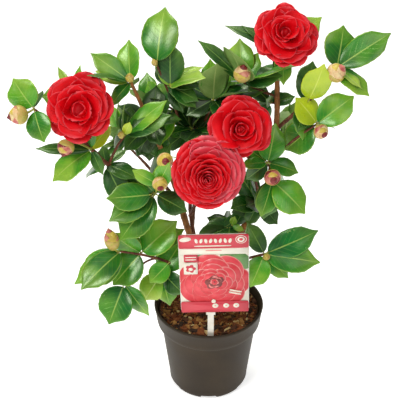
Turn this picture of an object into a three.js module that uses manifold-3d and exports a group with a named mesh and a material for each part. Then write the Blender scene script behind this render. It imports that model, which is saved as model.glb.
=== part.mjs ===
// Camellia shrub in its nursery pot: trunk, three stems, boughs, four blooms and masses of foliage.
// Millimetres, +Z up. The origin is the middle of the pot's flat underside; the front is towards -Y.

import * as THREE from "three";
import { mergeVertices } from "three/addons/utils/BufferGeometryUtils.js";
import Module from "manifold-3d";

const wasm = await Module();
wasm.setup();

// ---------------------------------------------------------------- driving dimensions

const GAP = 0.3;
const SIMPLIFY = 0.08;

const POT_HEIGHT = 130;
const RIM_RADIUS = 75;
const BAND_HEIGHT = 28;
const BAND_FOOT_RADIUS = 71;
const BODY_TOP_RADIUS = 66;
const FOOT_RADIUS = 54;
const FOOT_ROUND = 4;
const POT_WALL = 2.2;
const POT_FLOOR = 2.6;
const POT_SIDES = 24;
const DRAIN_SLOTS = 6;
const DRAIN_SLOT_WIDTH = 16;
const DRAIN_SLOT_HEIGHT = 3.4;
const DRAIN_HOLES = 4;
const DRAIN_HOLE_RADIUS = 5;
const DRAIN_HOLE_CIRCLE = 27;

const SOIL_TOP = 119;
const SOIL_CROWN = 1.5;

const TRUNK_FOOT_RADIUS = 10;
const TRUNK_TOP_RADIUS = 7;
const TRUNK_FLARE_HEIGHT = 9;
const LIMB_SIDES = 6;
const LIMB_STEPS_PER_POINT = 1.4;

const CARD_WIDTH = 88;
const CARD_HEIGHT = 121;
const CARD_THICKNESS = 0.8;
const CARD_CORNER = 6;
const CARD_TURN = THREE.MathUtils.degToRad(-1.5);
const CARD_CENTRE = new THREE.Vector3(6, -67, 227);
const STICK_WIDTH = 8;
const STICK_THICKNESS = 2.4;
const STICK_COLLAR_WIDTH = 12;
const STICK_COLLAR_HEIGHT = 4;

const BLOOM_DEPTH = 0.42;
const BLOOM_RIPPLE = 0.05;
const LEAF_WIDTH = 0.6;
const LEAF_PAD = 9;
const PAD_START = 4;
const CORE_RADIUS = 8;
const CORE_RADIUS_PER_LEAF = 0.8;
const FILL_REACH = 40;
const GOLDEN_ANGLE = Math.PI * (3 - Math.sqrt(5));
const UP = new THREE.Vector3(0, 0, 1);
const FACE_FOCUS_DEPTH = 150;
const FACE_FOCUS_HEIGHT = 150;

// ---------------------------------------------------------------- materials

const FINISH = {
  pot: new THREE.MeshStandardMaterial({ color: 0x4b423a, roughness: 0.5, metalness: 0 }),
  soil: new THREE.MeshStandardMaterial({ color: 0x3a2114, roughness: 0.95, metalness: 0 }),
  card: new THREE.MeshStandardMaterial({ color: 0xe4505f, roughness: 0.4, metalness: 0 }),
  stick: new THREE.MeshStandardMaterial({ color: 0xe9e4da, roughness: 0.5, metalness: 0 }),
  bark: new THREE.MeshStandardMaterial({ color: 0x7a4a24, roughness: 0.85, metalness: 0 }),
  bloom: new THREE.MeshStandardMaterial({ color: 0xd9131f, roughness: 0.55, metalness: 0 }),
  leaves: new THREE.MeshStandardMaterial({ color: 0x2f7a2c, roughness: 0.35, metalness: 0 }),
};

// ---------------------------------------------------------------- solids

/** Turns a closed three.js geometry into a solid that can be joined and cut. */
function solidOf(geometry) {
  const bare = geometry.clone();
  bare.deleteAttribute("normal");
  bare.deleteAttribute("uv");
  const merged = mergeVertices(bare, 1e-4);
  const mesh = new wasm.Mesh({
    numProp: 3,
    vertProperties: new Float32Array(merged.attributes.position.array),
    triVerts: new Uint32Array(merged.index.array),
  });
  mesh.merge();
  return new wasm.Manifold(mesh);
}

/** Turns a solid back into a three.js geometry. */
function geometryOf(solid) {
  const mesh = solid.getMesh();
  const geometry = new THREE.BufferGeometry();
  geometry.setAttribute("position", new THREE.BufferAttribute(mesh.vertProperties, 3));
  geometry.setIndex(new THREE.BufferAttribute(mesh.triVerts, 1));
  geometry.computeVertexNormals();
  return geometry;
}

/** The largest single body of a solid that a cut may have left in several. */
function largestBody(solid) {
  const bodies = solid.decompose();
  return bodies.reduce((best, body) => (body.volume() > best.volume() ? body : best));
}

/** Whether the boxes of two solids meet. */
function boxesMeet(a, b) {
  const p = a.boundingBox();
  const q = b.boundingBox();
  return [0, 1, 2].every((i) => p.min[i] < q.max[i] && q.min[i] < p.max[i]);
}

const plant = new THREE.Group();
const keepOut = [];

/** Adds one named piece that needs no cutting. */
function addPiece(name, geometry, material, grown) {
  const mesh = new THREE.Mesh(geometry, material);
  mesh.name = name;
  plant.add(mesh);
  if (grown) keepOut.push(grown);
  return mesh;
}

/**
 * Adds one named piece, cut clear of every piece already placed.
 * make(0) is the piece itself and make(GAP) the same piece grown, which later pieces keep out of.
 */
function addCutPiece(name, material, make) {
  let solid = make(0);
  for (const other of keepOut) {
    if (boxesMeet(solid, other)) solid = solid.subtract(other);
  }
  addPiece(name, geometryOf(largestBody(solid).simplify(SIMPLIFY)), material, make(GAP));
}

// ---------------------------------------------------------------- pot, soil and label

/** Outer radius of the pot's body below the rim band, at a height. */
function bodyRadius(height) {
  const t = height / (POT_HEIGHT - BAND_HEIGHT);
  return THREE.MathUtils.lerp(FOOT_RADIUS, BODY_TOP_RADIUS, t);
}

/** The thin-walled pot: a turned profile with a stepped rim band, drain holes and slots in the foot. */
function potSolid() {
  const bandFoot = POT_HEIGHT - BAND_HEIGHT;
  const outline = [
    [0, 0],
    [FOOT_RADIUS - FOOT_ROUND, 0],
    [bodyRadius(FOOT_ROUND), FOOT_ROUND],
    [BODY_TOP_RADIUS, bandFoot],
    [BAND_FOOT_RADIUS, bandFoot + 2],
    [RIM_RADIUS - 1, POT_HEIGHT - 4],
    [RIM_RADIUS, POT_HEIGHT],
    [RIM_RADIUS - POT_WALL, POT_HEIGHT],
    [BAND_FOOT_RADIUS - POT_WALL, bandFoot + 4],
    [BODY_TOP_RADIUS - POT_WALL, bandFoot],
    [bodyRadius(POT_FLOOR) - POT_WALL - FOOT_ROUND, POT_FLOOR],
    [0, POT_FLOOR],
  ];
  const points = outline.map(([r, z]) => new THREE.Vector2(r, z));
  const turned = new THREE.LatheGeometry(points, POT_SIDES);
  turned.rotateX(Math.PI / 2);
  let pot = solidOf(turned);
  for (let i = 0; i < DRAIN_SLOTS; i += 1) {
    const angle = ((i + 0.5) * 2 * Math.PI) / DRAIN_SLOTS;
    const slot = new THREE.BoxGeometry(14, DRAIN_SLOT_WIDTH, 2 * DRAIN_SLOT_HEIGHT);
    slot.translate(FOOT_RADIUS, 0, 0);
    slot.rotateZ(angle);
    pot = pot.subtract(solidOf(slot));
  }
  for (let i = 0; i < DRAIN_HOLES; i += 1) {
    const angle = (i * 2 * Math.PI) / DRAIN_HOLES;
    const hole = new THREE.CylinderGeometry(DRAIN_HOLE_RADIUS, DRAIN_HOLE_RADIUS, 4 * POT_FLOOR, 8);
    hole.rotateX(Math.PI / 2);
    hole.translate(DRAIN_HOLE_CIRCLE, 0, 0);
    hole.rotateZ(angle);
    pot = pot.subtract(solidOf(hole));
  }
  return pot;
}

/** The root ball's visible top and body, a low dome that fills the pot to just under its rim. */
function soilGeometry() {
  const bandFoot = POT_HEIGHT - BAND_HEIGHT;
  const rimShare = (SOIL_TOP - bandFoot) / BAND_HEIGHT;
  const topRadius = THREE.MathUtils.lerp(BAND_FOOT_RADIUS, RIM_RADIUS, rimShare) - POT_WALL - 1;
  const points = [
    new THREE.Vector2(0, POT_FLOOR + GAP),
    new THREE.Vector2(bodyRadius(POT_FLOOR) - POT_WALL - FOOT_ROUND - 2 * GAP, POT_FLOOR + GAP),
    new THREE.Vector2(BODY_TOP_RADIUS - POT_WALL - 2 * GAP, bandFoot - 1),
    new THREE.Vector2(topRadius, SOIL_TOP),
    new THREE.Vector2(topRadius / 2, SOIL_TOP + SOIL_CROWN * 0.6),
    new THREE.Vector2(1.4 * TRUNK_FOOT_RADIUS, SOIL_TOP + SOIL_CROWN),
    new THREE.Vector2(0, SOIL_TOP + SOIL_CROWN),
  ];
  const turned = new THREE.LatheGeometry(points, POT_SIDES);
  turned.rotateX(Math.PI / 2);
  return turned;
}

/** A rectangle with round corners, centred on the origin. */
function roundedRectangle(width, height, corner) {
  const x = width / 2;
  const y = height / 2;
  const shape = new THREE.Shape();
  shape.moveTo(-x + corner, -y);
  shape.absarc(x - corner, -y + corner, corner, -Math.PI / 2, 0);
  shape.absarc(x - corner, y - corner, corner, 0, Math.PI / 2);
  shape.absarc(-x + corner, y - corner, corner, Math.PI / 2, Math.PI);
  shape.absarc(-x + corner, -y + corner, corner, Math.PI, 1.5 * Math.PI);
  return shape;
}

/** The plant label: a stiff card standing upright over the soil, turned a little in its own plane. */
function addCard() {
  const make = (grow) => {
    const outline = roundedRectangle(CARD_WIDTH + 2 * grow, CARD_HEIGHT + 2 * grow, CARD_CORNER);
    const depth = CARD_THICKNESS + 2 * grow;
    const card = new THREE.ExtrudeGeometry(outline, { depth, bevelEnabled: false, curveSegments: 4 });
    card.translate(0, 0, -depth / 2);
    card.rotateX(Math.PI / 2);
    card.rotateY(CARD_TURN);
    card.translate(CARD_CENTRE.x, CARD_CENTRE.y, CARD_CENTRE.z);
    return card;
  };
  addPiece("label_card", make(0), FINISH.card, solidOf(make(GAP)));
}

/** The label's stick: a flat strip that stands on the soil, with a wider collar under the card. */
function addStick() {
  const foot = SOIL_TOP + SOIL_CROWN + GAP;
  const head = CARD_CENTRE.z - CARD_HEIGHT / 2 - 2 * GAP - 0.2;
  const collarFoot = head - STICK_COLLAR_HEIGHT;
  const outline = new THREE.Shape();
  outline.moveTo(-STICK_WIDTH / 2, foot);
  outline.lineTo(STICK_WIDTH / 2, foot);
  outline.lineTo(STICK_WIDTH / 2, collarFoot);
  outline.lineTo(STICK_COLLAR_WIDTH / 2, collarFoot);
  outline.lineTo(STICK_COLLAR_WIDTH / 2, head);
  outline.lineTo(-STICK_COLLAR_WIDTH / 2, head);
  outline.lineTo(-STICK_COLLAR_WIDTH / 2, collarFoot);
  outline.lineTo(-STICK_WIDTH / 2, collarFoot);
  const stick = new THREE.ExtrudeGeometry(outline, { depth: STICK_THICKNESS, bevelEnabled: false });
  stick.translate(0, 0, -STICK_THICKNESS / 2);
  stick.rotateX(Math.PI / 2);
  stick.translate(CARD_CENTRE.x - 4, CARD_CENTRE.y, 0);
  addPiece("label_stick", stick, FINISH.stick, solidOf(stick));
}

// ---------------------------------------------------------------- trunk, stems and boughs

/**
 * A tapering limb: a cylinder bent along a smooth curve through its points.
 * footRadius is its radius at the first point and tipRadius at the last; grow thickens it all over.
 */
function limbSolid(points, footRadius, tipRadius, grow) {
  const curve = new THREE.CatmullRomCurve3(points.map((p) => new THREE.Vector3(...p)));
  const steps = Math.round(LIMB_STEPS_PER_POINT * (points.length - 1));
  const frames = curve.computeFrenetFrames(steps, false);
  const tube = new THREE.CylinderGeometry(tipRadius + grow, footRadius + grow, 1, LIMB_SIDES, steps);
  const position = tube.attributes.position;
  const vertex = new THREE.Vector3();
  for (let i = 0; i < position.count; i += 1) {
    vertex.fromBufferAttribute(position, i);
    const along = vertex.y + 0.5;
    const step = Math.round(along * steps);
    const centre = curve.getPointAt(along);
    const stretch = (along - 0.5) * 2 * grow;
    centre.addScaledVector(frames.tangents[step], stretch);
    centre.addScaledVector(frames.normals[step], vertex.x);
    centre.addScaledVector(frames.binormals[step], -vertex.z);
    position.setXYZ(i, centre.x, centre.y, centre.z);
  }
  return solidOf(tube);
}

/** The trunk: a short turned post with a flared foot, cut flat at the soil. */
function trunkSolid(grow) {
  const foot = SOIL_TOP + SOIL_CROWN + GAP;
  const top = TRUNK_TOP_RADIUS + grow;
  const points = [
    new THREE.Vector2(0, foot - grow),
    new THREE.Vector2(TRUNK_FOOT_RADIUS + grow, foot - grow),
    new THREE.Vector2(TRUNK_FOOT_RADIUS - 2 + grow, foot + TRUNK_FLARE_HEIGHT / 2),
    new THREE.Vector2(top, foot + TRUNK_FLARE_HEIGHT),
    new THREE.Vector2(top, foot + 2 * TRUNK_FLARE_HEIGHT + grow),
    new THREE.Vector2(0.6 * top, foot + 2.5 * TRUNK_FLARE_HEIGHT + grow),
    new THREE.Vector2(0, foot + 2.6 * TRUNK_FLARE_HEIGHT + grow),
  ];
  const turned = new THREE.LatheGeometry(points, 10);
  turned.rotateX(Math.PI / 2);
  return solidOf(turned);
}

/** Adds a stem or bough, cut where it leaves the limb that it grows from. */
function limb(name, points, footRadius, tipRadius) {
  addCutPiece(name, FINISH.bark, (grow) => limbSolid(points, footRadius, tipRadius, grow));
}

// ---------------------------------------------------------------- blooms

/** Adds a double bloom: a flattened ball with a rippled edge, its face turned towards facing. */
function bloom(name, centre, radius, facing) {
  const normal = new THREE.Vector3(...facing).normalize();
  const turn = new THREE.Quaternion().setFromUnitVectors(UP, normal);
  const make = (grow) => {
    const ball = new THREE.SphereGeometry(1, 14, 7);
    ball.rotateX(Math.PI / 2);
    const position = ball.attributes.position;
    const vertex = new THREE.Vector3();
    for (let i = 0; i < position.count; i += 1) {
      vertex.fromBufferAttribute(position, i);
      const ripple = 1 - BLOOM_RIPPLE + BLOOM_RIPPLE * Math.cos(7 * Math.atan2(vertex.y, vertex.x));
      vertex.x *= radius * ripple + grow;
      vertex.y *= radius * ripple + grow;
      vertex.z *= radius * BLOOM_DEPTH + grow;
      vertex.applyQuaternion(turn);
      position.setXYZ(i, vertex.x + centre[0], vertex.y + centre[1], vertex.z + centre[2]);
    }
    return solidOf(ball);
  };
  addCutPiece(name, FINISH.bloom, make);
}

// ---------------------------------------------------------------- foliage

/** The way that the leaves round a hub turn their upper faces: up and away from the crown's middle. */
function leafFace(hub) {
  const behind = hub.y < 40 ? FACE_FOCUS_DEPTH : -FACE_FOCUS_DEPTH / 3;
  return new THREE.Vector3(hub.x, hub.y - behind, hub.z - FACE_FOCUS_HEIGHT).normalize();
}

/** The pad of one leaf: a flat six-sided double pyramid from inside the core out to the leaf's tip. */
function leafPad(hub, reach, grow) {
  const length = reach.length() - PAD_START;
  const along = reach.clone().normalize();
  const normal = leafFace(hub).addScaledVector(along, -leafFace(hub).dot(along)).normalize();
  const side = new THREE.Vector3().crossVectors(along, normal);
  const pad = new THREE.SphereGeometry(1, 6, 2);
  pad.scale(length / 2 + grow, LEAF_PAD / 2 + grow, (LEAF_WIDTH * length) / 2 + grow);
  const place = new THREE.Matrix4().makeBasis(along, normal, side);
  place.setPosition(hub.clone().addScaledVector(along, PAD_START + length / 2));
  pad.applyMatrix4(place);
  return solidOf(pad);
}

/** The reaches of the leaves that fill a tuft, dealt round its hub by the golden angle. */
function fillReaches(hub, count) {
  const start = hub.x + hub.z;
  return Array.from({ length: count }, (_, i) => {
    const heading = start + i * GOLDEN_ANGLE;
    const rise = 0.5 * Math.sin(2 * heading);
    return new THREE.Vector3(Math.cos(heading), Math.sin(heading), rise).setLength(FILL_REACH);
  });
}

/**
 * Adds a mass of foliage: the leaf pads round one hub, joined to a small uneven core.
 * reaches run from the hub to the tips that stand out in the crown's outline; fill more leaves
 * are dealt round the hub.
 */
function tuft(name, hubPoint, reaches, fill) {
  const hub = new THREE.Vector3(...hubPoint);
  const all = [...reaches.map((r) => new THREE.Vector3(...r)), ...fillReaches(hub, fill)];
  const make = (grow) => {
    const radius = CORE_RADIUS + CORE_RADIUS_PER_LEAF * all.length + grow;
    const core = new THREE.IcosahedronGeometry(radius, 0);
    core.rotateZ(hub.x);
    core.translate(hub.x, hub.y, hub.z);
    return all.reduce((mass, reach) => mass.add(leafPad(hub, reach, grow)), solidOf(core));
  };
  addCutPiece(`foliage_${name}`, FINISH.leaves, make);
}

/** Adds a mass at the back of the crown, its leaves dealt evenly round a hub that faces outwards. */
function backTuft(name, hubPoint, leaves, reach) {
  const hub = new THREE.Vector3(...hubPoint);
  const outwards = new THREE.Vector3(hub.x, hub.y, 0).normalize();
  const side = new THREE.Vector3().crossVectors(UP, outwards);
  const reaches = Array.from({ length: leaves }, (_, i) => {
    const angle = (i * 2 * Math.PI) / leaves + hub.z;
    const way = side.clone().multiplyScalar(Math.cos(angle));
    way.addScaledVector(UP, Math.sin(angle)).addScaledVector(outwards, 0.45);
    return way.setLength(reach * (1 - 0.15 * (i % 3))).toArray();
  });
  tuft(name, hubPoint, reaches, 0);
}

// ---------------------------------------------------------------- the plant

addPiece("pot", geometryOf(potSolid()), FINISH.pot, null);
addPiece("soil", soilGeometry(), FINISH.soil, solidOf(soilGeometry()));
addCard();
addStick();
addCutPiece("trunk", FINISH.bark, trunkSolid);

limb("stem_left", [[-2, 0, 135], [-12, 0, 180], [-26, 0, 242], [-34, -6, 282], [-48, -10, 338],
  [-63, -14, 388], [-82, -18, 440], [-93, -20, 470]], 5.5, 2.2);
limb("stem_right", [[3, 0, 135], [20, 0, 190], [40, 0, 247], [62, -5, 280], [75, -4, 321],
  [81, 0, 368], [82, 0, 410], [80, 4, 470], [82, 4, 500]], 6, 2.8);
limb("stem_middle", [[0, 4, 138], [-12, 7, 190], [-21, 6, 240], [-25, 8, 285], [-28, 10, 341],
  [-37, 10, 405], [-52, 6, 450], [-63, 0, 482]], 3.4, 1.4);

limb("bough_left", [[-40, -8, 300], [-62, -22, 322], [-95, -38, 352], [-128, -46, 378],
  [-140, -50, 396]], 3.4, 2.4);
limb("bough_far_left", [[-137, -48, 392], [-150, -50, 408], [-178, -56, 432], [-202, -60, 455]], 2.2, 1.4);
limb("bough_inner_left", [[-122, -44, 371], [-114, -42, 392], [-101, -40, 410]], 1.9, 1.3);
limb("bough_low_left", [[-3, -2, 146], [-20, -16, 185], [-45, -32, 216], [-74, -44, 237],
  [-112, -58, 255]], 2.8, 1.4);
limb("bough_low_right", [[4, -4, 146], [22, -20, 190], [46, -38, 230], [70, -44, 241]], 2.6, 1.6);
limb("bough_right_top", [[82, 0, 398], [98, -5, 417], [121, -13, 447], [147, -16, 486]], 2.8, 1.6);
limb("bough_right_middle", [[75, -4, 352], [92, -20, 383], [108, -27, 403], [127, -30, 420]], 1.8, 1.3);
limb("bough_right_front", [[72, -5, 318], [72, -26, 336], [75, -50, 354]], 2, 1.3);
limb("bough_bud", [[81, 3, 440], [62, -2, 450], [38, -8, 465]], 2, 1.4);
limb("bough_middle", [[-27, 9, 330], [-16, 12, 372], [-4, 8, 410], [4, 1, 437]], 2.2, 1.4);
limb("bough_front_bloom", [[-24, 6, 270], [-14, -22, 310], [-8, -56, 350], [-6, -78, 380]], 2.2, 1.6);
limb("bough_middle_bloom", [[66, -5, 292], [56, -14, 340], [42, -30, 390], [36, -46, 420]], 2, 1.5);
limb("bough_back_left", [[-36, -6, 290], [-58, 24, 302], [-86, 56, 318], [-108, 80, 330]], 2.8, 1.6);
limb("bough_back_right", [[64, -5, 286], [76, 28, 304], [90, 62, 322], [98, 82, 336]], 2.8, 1.6);
limb("bough_back_middle", [[-22, 6, 246], [-20, 40, 272], [-22, 76, 305], [-26, 98, 336]], 2.6, 1.5);

bloom("bloom_front", [-5, -95, 392], 46, [0.02, -0.93, 0.36]);
bloom("bloom_middle", [33, -65, 433], 40.5, [0.1, -0.86, 0.5]);
bloom("bloom_top", [83, -20, 528], 39.5, [0.05, -0.84, 0.54]);
bloom("bloom_left", [-151, -60, 457], 42, [-0.05, -0.86, 0.5]);

tuft("far_left", [-205, -60, 458], [[-20, 15, 28], [15, -20, -36], [10, 32, 5]], 0);
tuft("left_low", [-142, -48, 399], [[-45, -20, -36], [-65, -5, 0], [25, 15, 20], [15, -15, -30]], 0);
tuft("left_behind", [-158, -22, 450], [[-22, 20, 32], [5, 20, 34], [-42, 5, 0], [32, 12, 16]], 1);
tuft("upper_left", [-95, -20, 473],
  [[-45, 15, 27], [0, 25, 40], [22, -16, 0], [-22, -15, -28], [-42, 25, 0]], 0);
tuft("inner_left", [-101, -40, 412], [[55, 10, 20], [50, 25, 32], [5, 35, 20], [-15, 10, -24]], 0);
tuft("left_shade", [-70, -6, 408], [[5, 25, 40], [-35, -15, -30], [22, 16, 28]], 3);
tuft("tall_leaf", [-63, 0, 484], [[10, 36, 57]], 0);
tuft("middle_left", [-48, 0, 456], [[-12, 16, 28], [16, -16, -28], [38, 0, 0], [40, 10, 20]], 1);
tuft("middle_top", [5, 0, 440], [[-5, 25, 40], [16, 22, 32], [-34, -12, -18], [38, 0, 0]], 2);
tuft("bud", [35, -8, 467], [[-50, 25, 40], [0, 26, 42], [50, -10, 10], [22, 16, 28]], 0);
tuft("top_behind", [87, 10, 495], [[45, 20, 36], [-70, 15, 27], [-50, 16, 27], [0, -20, -34]], 0);
tuft("right_stem", [74, 4, 431], [[30, 6, 6], [-36, 16, 26], [-20, -14, -26]], 1);
tuft("right_top", [150, -16, 489], [[5, 25, 40], [60, 18, 33], [35, -20, -30], [24, -24, -18]], 0);
tuft("right_fork", [111, -12, 435],
  [[25, 25, 42], [14, 42, 40], [0, -20, -36], [-8, -30, -20], [10, -16, -48]], 0);
tuft("right_middle", [129, -30, 423], [[42, 16, 26], [-28, 12, 26]], 0);
tuft("right_inner", [71, -26, 365], [[10, 26, 42], [38, -5, -12], [-30, 20, 12], [-26, 0, -24]], 0);
tuft("right_low", [75, -52, 356], [[40, -20, -36], [-10, -16, -46]], 0);
tuft("right_shade", [62, -10, 298], [[-28, 22, 36], [-14, -14, -26], [26, -6, -30], [-34, -6, -12]], 2);
tuft("far_right_low", [74, -45, 242],
  [[65, 15, 26], [68, -5, -10], [54, 25, 10], [28, -6, -34], [-26, 20, 36], [-22, -20, -38]], 0);
tuft("centre_low", [19, -6, 256], [[-28, 0, 0], [24, 6, 16], [-22, 16, 6]], 1);
tuft("left_middle", [-66, -42, 330],
  [[-60, 5, 15], [-30, 10, 32], [16, 10, 42], [-45, -24, -53], [38, 0, -26]], 0);
tuft("left_fork", [-125, -44, 373], [[26, -25, -46], [-6, 26, 12], [24, 22, 8], [40, -5, -45]], 0);
tuft("low_left_middle", [-87, -46, 244], [[46, 20, 36], [-36, -20, -36], [-26, 26, 22]], 0);
tuft("low_left", [-116, -60, 256], [[-54, -20, -36], [-44, -34, -34]], 0);
tuft("low_left_drop", [-109, -62, 207], [[-20, -25, -46], [32, -20, -36]], 0);
tuft("low_left_inner", [-51, -36, 223], [[-28, -12, -18], [-34, -14, -52], [0, -25, -52], [18, 22, 22]], 0);
tuft("centre", [-24, 6, 393], [[-30, -6, -6], [20, 16, 28], [-32, 0, -28], [32, 16, -22]], 2);

backTuft("back_left", [-112, 84, 338], 6, 50);
backTuft("back_left_top", [-76, 54, 402], 6, 46);
backTuft("back_middle", [-26, 104, 346], 6, 52);
backTuft("back_right", [101, 88, 344], 6, 46);
backTuft("back_right_top", [36, 76, 398], 6, 52);
backTuft("back_low", [8, 92, 272], 6, 52);

export default plant;
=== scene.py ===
"""Camellia shrub in its nursery pot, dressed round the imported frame.

Metres, +Z up, origin at the middle of the pot's flat underside, the front towards -Y. Limbs are read from
the frame's stems and boughs, sprays of leaves from its masses of foliage, and blooms from its bloom solids.
"""

import logging
import math
from dataclasses import dataclass, field
from enum import Enum

import bmesh
import bpy
import numpy as np
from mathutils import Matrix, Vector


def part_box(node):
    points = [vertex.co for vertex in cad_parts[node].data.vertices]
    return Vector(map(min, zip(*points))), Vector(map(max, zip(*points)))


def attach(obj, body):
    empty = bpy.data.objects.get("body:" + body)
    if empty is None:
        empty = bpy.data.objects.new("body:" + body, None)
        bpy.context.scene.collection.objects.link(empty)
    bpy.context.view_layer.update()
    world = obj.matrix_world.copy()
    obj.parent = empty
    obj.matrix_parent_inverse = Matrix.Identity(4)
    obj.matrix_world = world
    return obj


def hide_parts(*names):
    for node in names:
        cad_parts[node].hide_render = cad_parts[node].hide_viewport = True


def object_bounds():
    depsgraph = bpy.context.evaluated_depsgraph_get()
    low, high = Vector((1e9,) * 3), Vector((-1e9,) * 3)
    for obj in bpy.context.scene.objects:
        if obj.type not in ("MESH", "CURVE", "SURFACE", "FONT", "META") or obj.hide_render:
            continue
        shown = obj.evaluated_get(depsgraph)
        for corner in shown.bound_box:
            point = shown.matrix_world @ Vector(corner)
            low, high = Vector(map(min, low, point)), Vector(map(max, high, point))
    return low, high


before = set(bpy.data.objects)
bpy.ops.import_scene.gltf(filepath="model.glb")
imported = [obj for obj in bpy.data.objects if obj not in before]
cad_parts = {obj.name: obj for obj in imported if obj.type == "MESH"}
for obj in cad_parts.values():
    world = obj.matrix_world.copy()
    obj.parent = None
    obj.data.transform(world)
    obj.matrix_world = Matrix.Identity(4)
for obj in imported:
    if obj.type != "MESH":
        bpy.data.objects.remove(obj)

LOG = logging.getLogger("camellia")
CAD_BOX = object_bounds()
BODY = "root"
MM = 0.001
GOLDEN_ANGLE = math.pi * (3 - math.sqrt(5))
UP = np.array([0.0, 0.0, 1.0])
FRONT_UP = np.array([0.0, -0.85, 0.53])
MERGE = 1e-6
TURN = 2 * math.pi
BLADE_UV = "blade"
SIDE_VEINS, VEIN_SWEEP = 8.0, 2.4        # pairs along a leaf, and how far they lean to its tip


# ---------------------------------------------------------------- small vector helpers


def unit(vectors: np.ndarray) -> np.ndarray:
    """Scale vectors to length one.

    Args:
        vectors: One vector, or any array of them along the last axis.

    Returns:
        The same directions with length one.
    """
    length = np.linalg.norm(vectors, axis=-1, keepdims=True)
    return vectors / np.maximum(length, 1e-12)


def across(direction: np.ndarray, wanted: np.ndarray) -> np.ndarray:
    """The unit vector nearest to wanted that is square to direction."""
    return unit(wanted - direction * np.sum(wanted * direction, axis=-1, keepdims=True))


def smooth(low: float, high: float, value: np.ndarray) -> np.ndarray:
    """A smooth step from 0 at low to 1 at high: 3t^2 - 2t^3 on the share of the way, clamped."""
    t = np.clip((value - low) / (high - low), 0.0, 1.0)
    return t * t * (3.0 - 2.0 * t)


def value_noise(points: np.ndarray, size: float, seed: int) -> np.ndarray:
    """A smooth random field.

    Random heights stand on a cubic lattice of the given size, and between its corners they are blended by
    the smooth step of each coordinate's share of the cell.

    Args:
        points: Places, with x, y, z along the last axis.
        size: Width of one lattice cell in metres.
        seed: Which random lattice to use.

    Returns:
        One value from -1 to 1 for each point.
    """
    table = np.random.default_rng(seed).uniform(-1, 1, (16, 16, 16))
    cell = np.floor(points / size)
    share = points / size - cell
    share = share * share * (3 - 2 * share)
    corner = cell.astype(int)
    total = np.zeros(points.shape[:-1])
    for dx, dy, dz in np.ndindex(2, 2, 2):
        near = np.abs(np.array([1 - dx, 1 - dy, 1 - dz]) - share)
        at = (corner + np.array([dx, dy, dz])) % 16
        total += table[at[..., 0], at[..., 1], at[..., 2]] * near.prod(axis=-1)
    return total


def linear(hex_colour: int) -> tuple[float, float, float, float]:
    """The linear colour of a display colour written as 0xRRGGBB."""
    parts = [((hex_colour >> shift) & 255) / 255 for shift in (16, 8, 0)]
    return (*[p / 12.92 if p <= 0.04045 else ((p + 0.055) / 1.055) ** 2.4 for p in parts], 1.0)


# ---------------------------------------------------------------- shader graphs and finishes


class Value:
    """A shader socket that can be used in arithmetic; each operation adds one Math node."""

    def __init__(self, graph: "Graph", socket: bpy.types.NodeSocket) -> None:
        """Keep the graph and the socket."""
        self.graph = graph
        self.socket = socket

    def _math(self, operation: str, first: object, second: object) -> "Value":
        """Add a Math node of two values or numbers and return its output."""
        made = self.graph.node("ShaderNodeMath", {"operation": operation}, {0: first, 1: second})
        return Value(self.graph, made.outputs[0])

    def __add__(self, other: object) -> "Value":
        """This value plus another."""
        return self._math("ADD", self, other)

    def __sub__(self, other: object) -> "Value":
        """This value less another."""
        return self._math("SUBTRACT", self, other)

    def __rsub__(self, other: object) -> "Value":
        """Another value less this one."""
        return self._math("SUBTRACT", other, self)

    def __mul__(self, other: object) -> "Value":
        """This value times another."""
        return self._math("MULTIPLY", self, other)

    __radd__ = __add__
    __rmul__ = __mul__

    def absolute(self) -> "Value":
        """This value without its sign."""
        return self._math("ABSOLUTE", self, 0.0)

    def largest(self, other: object) -> "Value":
        """The larger of this value and another."""
        return self._math("MAXIMUM", self, other)

    def ping_pong(self, top: float) -> "Value":
        """This value folded to and fro between 0 and a top."""
        return self._math("PINGPONG", self, top)


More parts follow.
